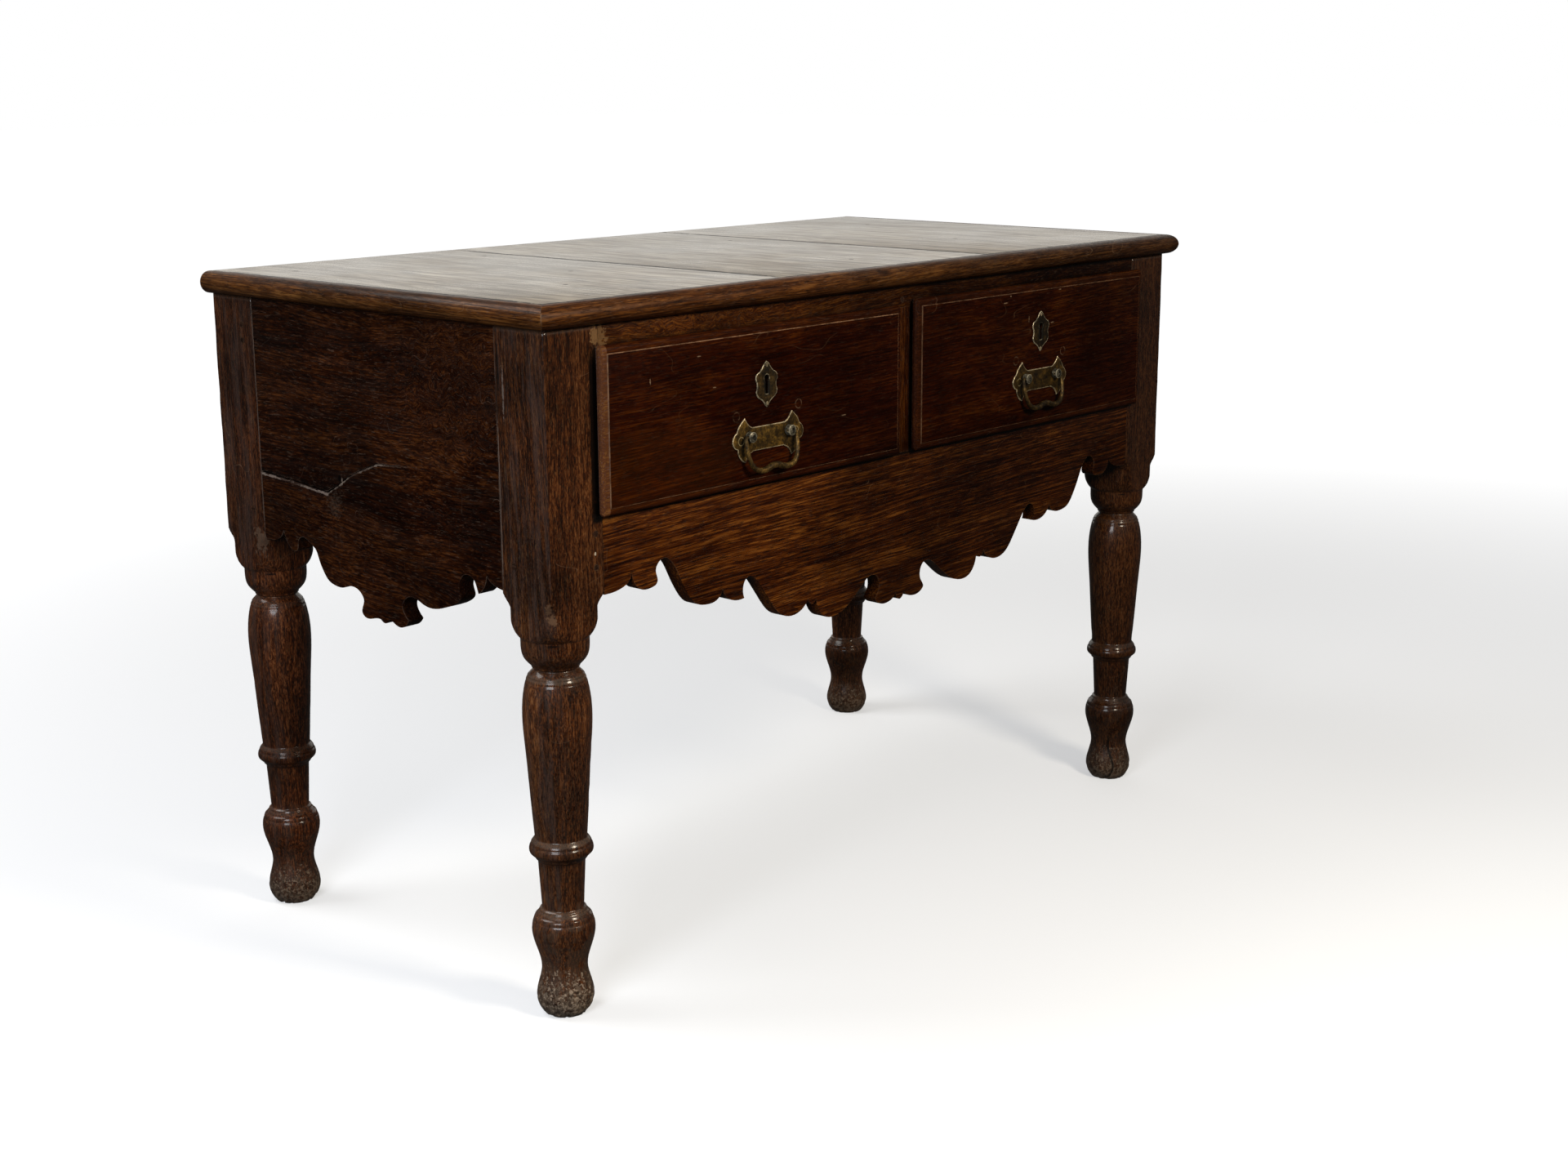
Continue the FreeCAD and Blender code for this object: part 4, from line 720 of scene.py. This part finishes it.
# ---------------------------------------------------------------- top
# Boards laid front to back, edge to edge, framed on three sides by a mitred strip with a rounded
# nose; a century of sun has bleached them, and the joints have opened and filled with dark dirt.
# The pale grey tones are bleached wood and in part a painted sheen.
TOP_TONES = [(0.10, (0.088, 0.068, 0.048)), (0.4, (0.150, 0.122, 0.090)),
             (0.66, (0.212, 0.180, 0.136)), (0.95, (0.30, 0.264, 0.207))]
TOP_STARTS = (("left", (0.2, 0.4, 0.03)), ("middle", (1.4, 0.37, 0.05)), ("right", (2.6, 0.42, -0.04)))
END_GRAIN = (0.040, 0.025, 0.014)
NAIL_STAIN = (0.05, 0.038, 0.028)
TOP_WEAR = 0.0006
JOINT_WEAR = 0.0013
JOINT_DIRT = 0.0048
NAIL_REACH = (0.0034, 0.0034, 0.004)
STAIN_REACH = (0.0040, 0.0080, 0.004)
STAIN_SHIFT = 0.004
NAIL_SPOTS = ((-0.304, -0.033), (-0.410, -0.140), (-0.240, 0.190), (0.010, -0.180), (0.120, 0.120),
              (0.330, -0.090), (0.450, 0.160), (-0.500, 0.210))
for part, start in TOP_STARTS:
    wood = hardwood("top_wood_" + part, "y", start, TOP_TONES, bands=22.0, fleck=(13.0, 170.0),
                    lines=(5.0, 105.0), twist=1.0, mix=(0.20, 0.38, 0.42), waviness=0.05,
                    patina=(0.80, 1.20), pore=(11.0, 260.0), worn=(0.33, 0.30, 0.25), wear=0.2,
                    scratch=0.2, grime_and_shade=0.9, gloss=0.25, matt_lines=0.12, shine=0.5, coat=0.35)
    low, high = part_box("top_board_" + part)
    centre = (low + high) / 2
    for edge in (low.x, high.x):
        marked(wood, (edge, 0.0, high.z), (JOINT_DIRT, 0.3, 0.004), GAP_SHADE_AND_DIRT, 0.97, 0.35, True, 60.0, 0.5)
    marked(wood, (centre.x, low.y, high.z), (0.25, 0.0042, 0.004), GAP_SHADE_AND_DIRT, 0.95, 0.35, True, 60.0, 0.5)
    marked(wood, (centre.x, high.y, centre.z), (0.25, 0.0035, 0.03), END_GRAIN, 0.88, 0.12, square=True)
    for across, along in NAIL_SPOTS:
        if low.x < across < high.x:
            marked(wood, (across, along, high.z), NAIL_REACH, GAP_SHADE_AND_DIRT, 0.97, 0.1, dull=0.5)
            marked(wood, (across, along + STAIN_SHIFT, high.z), STAIN_REACH, NAIL_STAIN, 0.6, 0.9)
    fitted("top_board_" + part, "laid_board_" + part, JOINT_WEAR, wood, "case")

NOSE_TONES = [(0.05, (0.014, 0.0040, 0.0010)), (0.4, (0.046, 0.0155, 0.0040)),
              (0.7, (0.100, 0.039, 0.0110)), (1.0, (0.19, 0.088, 0.030))]
# The front nose darkens to the right: painted falloff of the light; the side noses keep an even tone.
NOSE_LIGHT_FALLOFF = {"front": (0, -0.45, 0.3, 0.36), "left": None, "right": None}
for part, grain, start in (("front", "x", (0.1, 0.3, 0.1)), ("left", "y", (1.1, 0.6, 0.1)),
                           ("right", "y", (2.2, -0.5, 0.1))):
    wood = hardwood("nose_wood_" + part, grain, start, NOSE_TONES, shade=(0.92, 0.86, 0.68),
                    darker_along=NOSE_LIGHT_FALLOFF[part], fleck=(45.0, 480.0), lines=(5.0, 520.0), bloom=0.1,
                    filled=0.18, worn=(0.24, 0.15, 0.085), wear=0.6, scratch=0.2)
    fitted("top_moulding_" + part, "nosing_" + part, TOP_WEAR, wood, "case")

# ---------------------------------------------------------------- drawers
# Thick fronts with a thumb-moulded lip that laps over the case, dovetailed to softwood sides; the
# bottoms slide into grooves and are nailed up into the backs.
FRONT_TONES = [(0.05, (0.0085, 0.0011, 0.0002)), (0.4, (0.0185, 0.0026, 0.0004)),
               (0.7, (0.034, 0.0062, 0.0008)), (1.0, (0.068, 0.0175, 0.0027))]
# Each front has its place in the log, its shade, and how pale its left lip and its bright line are; the
# right front's darker shade is painted shade, the light falling off to the right.
FRONTS = {"left": ((0.9, 0.6, 0.05), (0.84, 0.80, 0.50), 1.0, 0.9),
          "right": ((4.2, 0.64, 0.07), (0.60, 0.64, 0.5), 0.1, 0.4)}
# Each scratch has its place across and up, and its half width and height.
SCRATCHES = {"left": ((-0.352, 0.690, 0.0035, 0.0007), (-0.424, 0.672, 0.0007, 0.0035),
                      (-0.330, 0.655, 0.0028, 0.0006), (-0.120, 0.600, 0.0040, 0.0006)),
             "right": ((0.185, 0.700, 0.0045, 0.0007), (0.300, 0.708, 0.0030, 0.0006),
                       (0.235, 0.676, 0.0006, 0.0040), (0.285, 0.668, 0.0035, 0.0006),
                       (0.196, 0.7075, 0.0012, 0.0010))}
SCRATCH_TONE = (0.20, 0.135, 0.085)
LIP_INSET = 0.0085
LIP_UNDERCUT = 0.0038
LIP_BACK_SLACK = 0.0012
OUTLINE_SLACK = 0.001
LIP_LIFT = (4.4, 8.2, 17.0)
LIP_TONE = (0.074, 0.032, 0.0165)
LIP_SHARE = 0.07
LINE_TONE = (0.24, 0.135, 0.075)
LINE_SOFTNESS = 0.0004
CORNER_RADIUS = 0.009
CORNER_SPARE = 0.001
CORNER_STEPS = 8
PRISM_SPARE = 0.01
FRONT_WEAR = 0.00035


def bordered(wood, low, high, left_share, line_share):
    """The lip kept paler than the field, most at the left, with the field's edge as a bright line."""
    tree = wood.node_tree
    place = placed_on(tree)
    parts = node(tree, "SeparateXYZ", {0: place})
    from_left = calc(tree, "SUBTRACT", parts.outputs[0], low.x)
    across = calc(tree, "MINIMUM", from_left, calc(tree, "SUBTRACT", high.x, parts.outputs[0]))
    upward = calc(tree, "MINIMUM", calc(tree, "SUBTRACT", parts.outputs[2], low.z),
                  calc(tree, "SUBTRACT", high.z, parts.outputs[2]))
    inward = calc(tree, "MINIMUM", across, upward)
    first, last = LIP_INSET - LINE_SOFTNESS, LIP_INSET + LINE_SOFTNESS
    left = spread(tree, from_left, first, last, left_share, 0.0)
    around = spread(tree, inward, first, last, LIP_SHARE, 0.0)
    colour = tree.nodes["Principled BSDF"].inputs["Base Color"].links[0].from_socket
    lip = blended(tree, 0.55, blended(tree, 1.0, colour, LIP_LIFT, "MULTIPLY"), LIP_TONE)
    laid_over(wood, calc(tree, "MAXIMUM", left, around), lip)
    off = calc(tree, "ABSOLUTE", calc(tree, "SUBTRACT", inward, LIP_INSET))
    line = spread(tree, off, 0.0001, 0.0006, 1.0, 0.0)
    broken = spread(tree, speckle(tree, place, 55.0, 4.0, 0.7), 0.38, 0.60, 0.2 * line_share, line_share)
    laid_over(wood, calc(tree, "MULTIPLY", line, broken), LINE_TONE)


def undercut(piece, low, high):
    """The back of the lip planed away towards its edge, which leaves a dark gap round the drawer."""
    spots = [vertex.co for vertex in piece.data.vertices]
    rear = max(spot.y for spot in spots if min(spot.x - low.x, high.x - spot.x) < OUTLINE_SLACK)
    for spot in spots:
        edge = min(spot.x - low.x, high.x - spot.x, spot.z - low.z, high.z - spot.z)
        if edge < OUTLINE_SLACK and spot.y > rear - LIP_BACK_SLACK:
            spot.y -= LIP_UNDERCUT


def rounded_prism(low, high, radius):
    """An upright slab with rounded corners, a little larger than the drawer front."""
    work = bmesh.new()
    outline = []
    for turn, corner in enumerate(((high.x, high.z), (low.x, high.z), (low.x, low.z), (high.x, low.z))):
        across = corner[0] + (CORNER_SPARE - radius) * (1 if corner[0] == high.x else -1)
        upward = corner[1] + (CORNER_SPARE - radius) * (1 if corner[1] == high.z else -1)
        for step in range(CORNER_STEPS + 1):
            angle = (turn + step / CORNER_STEPS) * math.pi / 2
            outline.append((across + radius * math.cos(angle), upward + radius * math.sin(angle)))
    skinned(work, [[work.verts.new((across, depth, upward)) for across, upward in outline]
                   for depth in (low.y - PRISM_SPARE, high.y + PRISM_SPARE)])
    bmesh.ops.recalc_face_normals(work, faces=work.faces)
    return put_in(work, "rounded_prism")


lipped_wood = {}
for hand, (start, shade, left_share, line_share) in FRONTS.items():
    body = hand + "_drawer"
    low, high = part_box("drawer_front_" + hand)
    # The left front darkens to the right: painted falloff of the light.
    wood = hardwood("drawer_front_wood_" + hand, "x", start, FRONT_TONES, shade=shade,
                    darker_along=(0, low.x, high.x, 0.6) if hand == "left" else None, bands=20.0,
                    fleck=(40.0, 560.0), lines=(4.0, 640.0), twist=0.4, mix=(0.26, 0.32, 0.42),
                    filled=0.05, wear=0.45, wear_width=0.0014, scratch=0.22, shine=0.03, coat=0.02)
    bordered(wood, low, high, left_share, line_share)
    for across, rise, wide, tall in SCRATCHES[hand]:
        marked(wood, (across, low.y, rise), (wide, 0.004, tall), SCRATCH_TONE, 0.65)
    if hand == "left":
        # A faint lighter patch in the old polish.
        marked(wood, (-0.440, low.y, 0.560), (0.170, 0.004, 0.075), (0.050, 0.020, 0.0040), 0.10, 0.3,
               grit=26.0)
    lipped_wood[hand] = wood
    front = fitted("drawer_front_" + hand, "lipped_front_" + hand, FRONT_WEAR, wood, body)
    undercut(front, low, high)
    cut_away(front, rounded_prism(low, high, CORNER_RADIUS), "INTERSECT")
    for part, grain, first in (("side_outer", "y", 1.0), ("side_inner", "y", 2.0), ("back", "x", 3.0),
                               ("bottom", "x", 4.0)):
        wood = hardwood("%s_wood_%s" % (part, hand), grain, (first + start[0], 0.2, 0.15), PINE_TONES,
                        wear=0.3, gloss=0.6, coat=0.0)
        fitted("drawer_%s_%s" % (part, hand), "box_%s_%s" % (part, hand), TOP_WEAR, wood, body)


# ---------------------------------------------------------------- iron of the locks, nails and nuts
# Forged iron, blackened by age, with a little brown rust in the pits: the locks let into the fronts
# with their bolts, the nails under the bottoms, and the nuts that hold the handles inside.
def forged_iron(name):
    """Dark iron with soft rust."""
    material, tree, shader = fresh_finish(name)
    rust = speckle(tree, placed_on(tree), 130.0, 4.0, 0.65)
    colour = ramp(tree, rust, [(0.35, (0.035, 0.033, 0.031)), (0.6, (0.075, 0.045, 0.028))])
    tree.links.new(colour, shader.inputs["Base Color"])
    tree.links.new(spread(tree, rust, 0.3, 0.7, 0.42, 0.75), shader.inputs["Roughness"])
    shader.inputs["Metallic"].default_value = 0.8
    roughened(tree, shader, rust, 0.5, 0.0004)
    return material


iron = forged_iron("forged_iron")
for hand in ("left", "right"):
    for name in ("bottom_nails_", "lock_case_", "lock_bolt_", "handle_nuts_"):
        finished(name + hand, iron)


# ---------------------------------------------------------------- brasses
# Plates sawn from cast sheet with a filed bevel, turned posts and a bent bail, never lacquered: a
# dull olive skin with dirt in the corners and bright metal only where hands have rubbed it.
PLATE_BEVEL = 0.0008
RUB_WIDTH = 0.0018
CORNER_DIRT = (0.006, 0.0045, 0.002)
# A near-black tone: painted shade in and round the keyhole, and the dark centre of each post's end.
HOLE_SHADE_AND_DIRT = (0.003, 0.0022, 0.0012)
KEYHOLE_REACH = (0.0050, 0.01, 0.0122)
POST_RADIUS = 0.006
HOLLOW_SHIFT = 0.0008
HOLLOW_REACH = (0.0027, 0.004, 0.0034)
# Punched rings beside the two posts, and the outline that an older plate left on the wood.
RING_OFFSETS = ((-0.0125, -0.0035), (0.0125, -0.0020))
GHOST_OFFSETS = ((-0.050, 0.027), (0.050, 0.030))
GHOST_TONE = (0.12, 0.078, 0.050)
# Each brass has its skin, rubbed metal, share of metal and share of rubbing.
BRASSES = {"plate": ((0.078, 0.043, 0.008), (0.95, 0.80, 0.52), 0.5, 1.0),
           "keyhole": ((0.034, 0.020, 0.006), (0.86, 0.75, 0.52), 0.5, 1.0),
           "bail": ((0.084, 0.049, 0.012), (0.66, 0.52, 0.30), 0.6, 0.9),
           "post": ((0.105, 0.094, 0.066), (0.52, 0.48, 0.36), 0.5, 0.8)}
# The right-hand brasses are darker: painted shade, the light falling off to the right.
SKIN_SHADES = {"left": 1.0, "right": 0.6}


def old_brass(name, skin, bright, metal, rub):
    """Brass under an old skin, mottled dark and gold, rubbed along the edges, dirt in the corners."""
    material, tree, shader = fresh_finish(name)
    place = placed_on(tree)
    clouds = speckle(tree, place, 78.0, 6.0, 0.75)
    spots = speckle(tree, place, 420.0, 3.0, 0.6)
    blend = calc(tree, "ADD", calc(tree, "MULTIPLY", clouds, 0.7), calc(tree, "MULTIPLY", spots, 0.3))
    colour = ramp(tree, blend, [(at, tuple(part * lift for part in skin))
                                for at, lift in ((0.38, 0.08), (0.47, 0.42), (0.54, 1.1), (0.62, 2.9))])
    true = node(tree, "NewGeometry").outputs["Normal"]
    edge = on_edges(tree, true, RUB_WIDTH, 0.004, 0.045, 8)
    patchy = spread(tree, clouds, 0.40, 0.54, 0.15, 1.0)
    rubbed = calc(tree, "MULTIPLY", calc(tree, "MULTIPLY", edge, patchy), rub)
    colour = blended(tree, rubbed, colour, bright)
    colour = blended(tree, in_corners(tree, 0.005, 0.40, 0.88, 0.95), colour, CORNER_DIRT)
    tree.links.new(colour, shader.inputs["Base Color"])
    rough = calc(tree, "SUBTRACT", spread(tree, clouds, 0.3, 0.7, 0.56, 0.34),
                 calc(tree, "MULTIPLY", rubbed, 0.1))
    tree.links.new(rough, shader.inputs["Roughness"])
    shader.inputs["Metallic"].default_value = metal
    shader.inputs["Specular IOR Level"].default_value = 0.3
    roughened(tree, shader, blend, 0.8, RELIEF_DEPTH)
    return material


def ringed(finish, spot, radius, width, tone, share):
    """A thin ring of another tone: a punched circle, or what is left of an older plate's outline."""
    tree = finish.node_tree
    place = placed_on(tree)
    away = vectors(tree, "MULTIPLY", vectors(tree, "SUBTRACT", place, spot), (1.0, 0.0, 1.0))
    off = calc(tree, "ABSOLUTE", calc(tree, "SUBTRACT", measured(tree, "LENGTH", away), radius))
    broken = spread(tree, speckle(tree, place, 210.0, 3.0, 0.6), 0.40, 0.54, 0.1, 1.0)
    ring = spread(tree, off, width * 0.4, width, share, 0.0)
    laid_over(finish, calc(tree, "MULTIPLY", ring, broken), tone)


for hand in ("left", "right"):
    body = hand + "_drawer"
    brass = {}
    for part, (skin, bright, metal, rub) in BRASSES.items():
        shaded = tuple(tone * SKIN_SHADES[hand] for tone in skin)
        brass[part] = old_brass("%s_brass_%s" % (part, hand), shaded, bright, metal, rub)
    low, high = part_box("escutcheon_" + hand)
    keyhole = ((low.x + high.x) / 2, low.y, (low.z + high.z) / 2)
    # Painted shade in and round the keyhole.
    marked(brass["keyhole"], keyhole, KEYHOLE_REACH, HOLE_SHADE_AND_DIRT, 0.95, 0.10, square=True)
    low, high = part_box("handle_plate_" + hand)
    posts_low, posts_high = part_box("handle_posts_" + hand)
    centre, posts_level = (low + high) / 2, (posts_low.z + posts_high.z) / 2
    for across, rise in GHOST_OFFSETS:
        ghost = (centre.x + across, low.y, centre.z + rise)
        ringed(lipped_wood[hand], ghost, 0.0050, 0.0009, GHOST_TONE, 0.45)
    posts = (posts_low.x + POST_RADIUS, posts_high.x - POST_RADIUS)
    for post, (across, rise) in zip(posts, RING_OFFSETS):
        hollow = (post + HOLLOW_SHIFT, posts_low.y, posts_level)
        marked(brass["post"], hollow, HOLLOW_REACH, HOLE_SHADE_AND_DIRT, 0.9, 0.4)
        punched = (post + across, low.y, posts_level + rise)
        ringed(brass["plate"], punched, 0.0036, 0.0008, (0.012, 0.008, 0.003), 0.9)
        ringed(brass["plate"], punched, 0.0044, 0.0006, (0.40, 0.31, 0.15), 0.8)
    fitted("handle_plate_" + hand, "bevelled_handle_plate_" + hand, PLATE_BEVEL, brass["plate"], body)
    fitted("escutcheon_" + hand, "bevelled_escutcheon_" + hand, PLATE_BEVEL, brass["keyhole"], body)
    finished("escutcheon_pins_" + hand, brass["bail"])
    finished("handle_posts_" + hand, brass["post"])
    finished("bail_" + hand, brass["bail"])

# ---------------------------------------------------------------- floor, light and camera
# A plain pale floor in a dim surround, under four soft lamps: a cool one at the left, a small warm
# one before the front, a wide one overhead, and a broad one behind that gives the top its sheen.
FLOOR_HALF = 30.0
bpy.ops.mesh.primitive_plane_add(size=2 * FLOOR_HALF)
floor = bpy.context.object
floor.name = "pale_floor"
paint, tree, coating = fresh_finish("pale_paint")
coating.inputs["Base Color"].default_value = (0.52, 0.54, 0.57, 1)
coating.inputs["Roughness"].default_value = 0.9
coating.inputs["Specular IOR Level"].default_value = 0.0
coating.inputs["Emission Color"].default_value = (1, 1, 1, 1)
away = measured(tree, "DISTANCE", placed_on(tree), (0.5, 0.0, 0.0))
tree.links.new(spread(tree, away, 0.9, 3.6, 0.44, 0.90), coating.inputs["Emission Strength"])
floor.data.materials.append(paint)
floor.visible_glossy = False
floor.visible_diffuse = False


def soft_lamp(name, spot, aim, width, height, power, colour):
    """A soft lamp at a spot, turned towards what it lights."""
    data = bpy.data.lights.new(name, "AREA")
    data.shape = "RECTANGLE"
    data.size = width
    data.size_y = height
    data.energy = power
    data.color = colour
    lamp = bpy.data.objects.new(name, data)
    bpy.context.scene.collection.objects.link(lamp)
    lamp.location = spot
    lamp.rotation_euler = (Vector(spot) - Vector(aim)).to_track_quat("Z", "Y").to_euler()
    lamp.visible_camera = False


soft_lamp("window_lamp", (-2.1, -0.9, 1.2), (-0.5, -0.1, 0.40), 0.8, 0.8, 26, (0.94, 0.96, 1.0))
soft_lamp("warm_lamp", (-0.1, -1.75, 1.45), (-0.35, -0.25, 0.40), 0.4, 0.4, 27, (1.0, 0.88, 0.70))
soft_lamp("overhead_lamp", (-1.3, 1.5, 3.0), (0.1, -0.1, 0.4), 1.7, 1.7, 60, (1.0, 0.98, 0.95))
soft_lamp("sheen_lamp", (3.1, 2.9, 1.5), (0, 0, 0.45), 5.5, 2.6, 36, (1.0, 0.97, 0.91))

world = bpy.data.worlds.new("pale_surround")
world.use_nodes = True
sky = world.node_tree
room = sky.nodes["Background"]
height = node(sky, "SeparateXYZ", {0: node(sky, "TexCoord").outputs["Generated"]}).outputs[2]
room.inputs["Color"].default_value = (1.0, 0.96, 0.91, 1)
sky.links.new(spread(sky, height, -0.25, 0.6, 0.05, 0.24), room.inputs["Strength"])
seen = node(sky, "Background", {"Color": (1, 1, 1, 1), "Strength": 1.0})
chosen = node(sky, "MixShader", {0: node(sky, "LightPath").outputs["Is Camera Ray"], 1: room.outputs[0],
                                 2: seen.outputs[0]})
sky.links.new(chosen.outputs[0], sky.nodes["World Output"].inputs["Surface"])
bpy.context.scene.world = world
bpy.context.scene.view_settings.view_transform = "Standard"

# The camera stands to the left of the front, a little above the top, and looks slightly down.
CAMERA_SPOT = Vector((-1.95114, -1.83134, 0.98708))
HEADING, PITCH, ROLL = 0.83924, 0.24012, -0.00447
FOCAL_LENGTH, SENSOR_WIDTH = 49.336, 36.0
NEAREST_SEEN = 0.05
level = Vector((math.cos(HEADING), -math.sin(HEADING), 0))
ahead = Vector((math.sin(HEADING), math.cos(HEADING), 0))
forward = ahead * math.cos(PITCH) - Vector((0, 0, math.sin(PITCH)))
upward = level.cross(forward)
right = level * math.cos(ROLL) + upward * math.sin(ROLL)
upward = upward * math.cos(ROLL) - level * math.sin(ROLL)
lens = bpy.data.cameras.new("camera")
lens.lens = FOCAL_LENGTH
lens.sensor_width = SENSOR_WIDTH
lens.sensor_fit = "HORIZONTAL"
lens.clip_start = NEAREST_SEEN
camera = bpy.data.objects.new("camera", lens)
bpy.context.scene.collection.objects.link(camera)
camera.matrix_world = Matrix((right, upward, -forward)).transposed().to_4x4()
camera.location = CAMERA_SPOT
bpy.context.scene.camera = camera
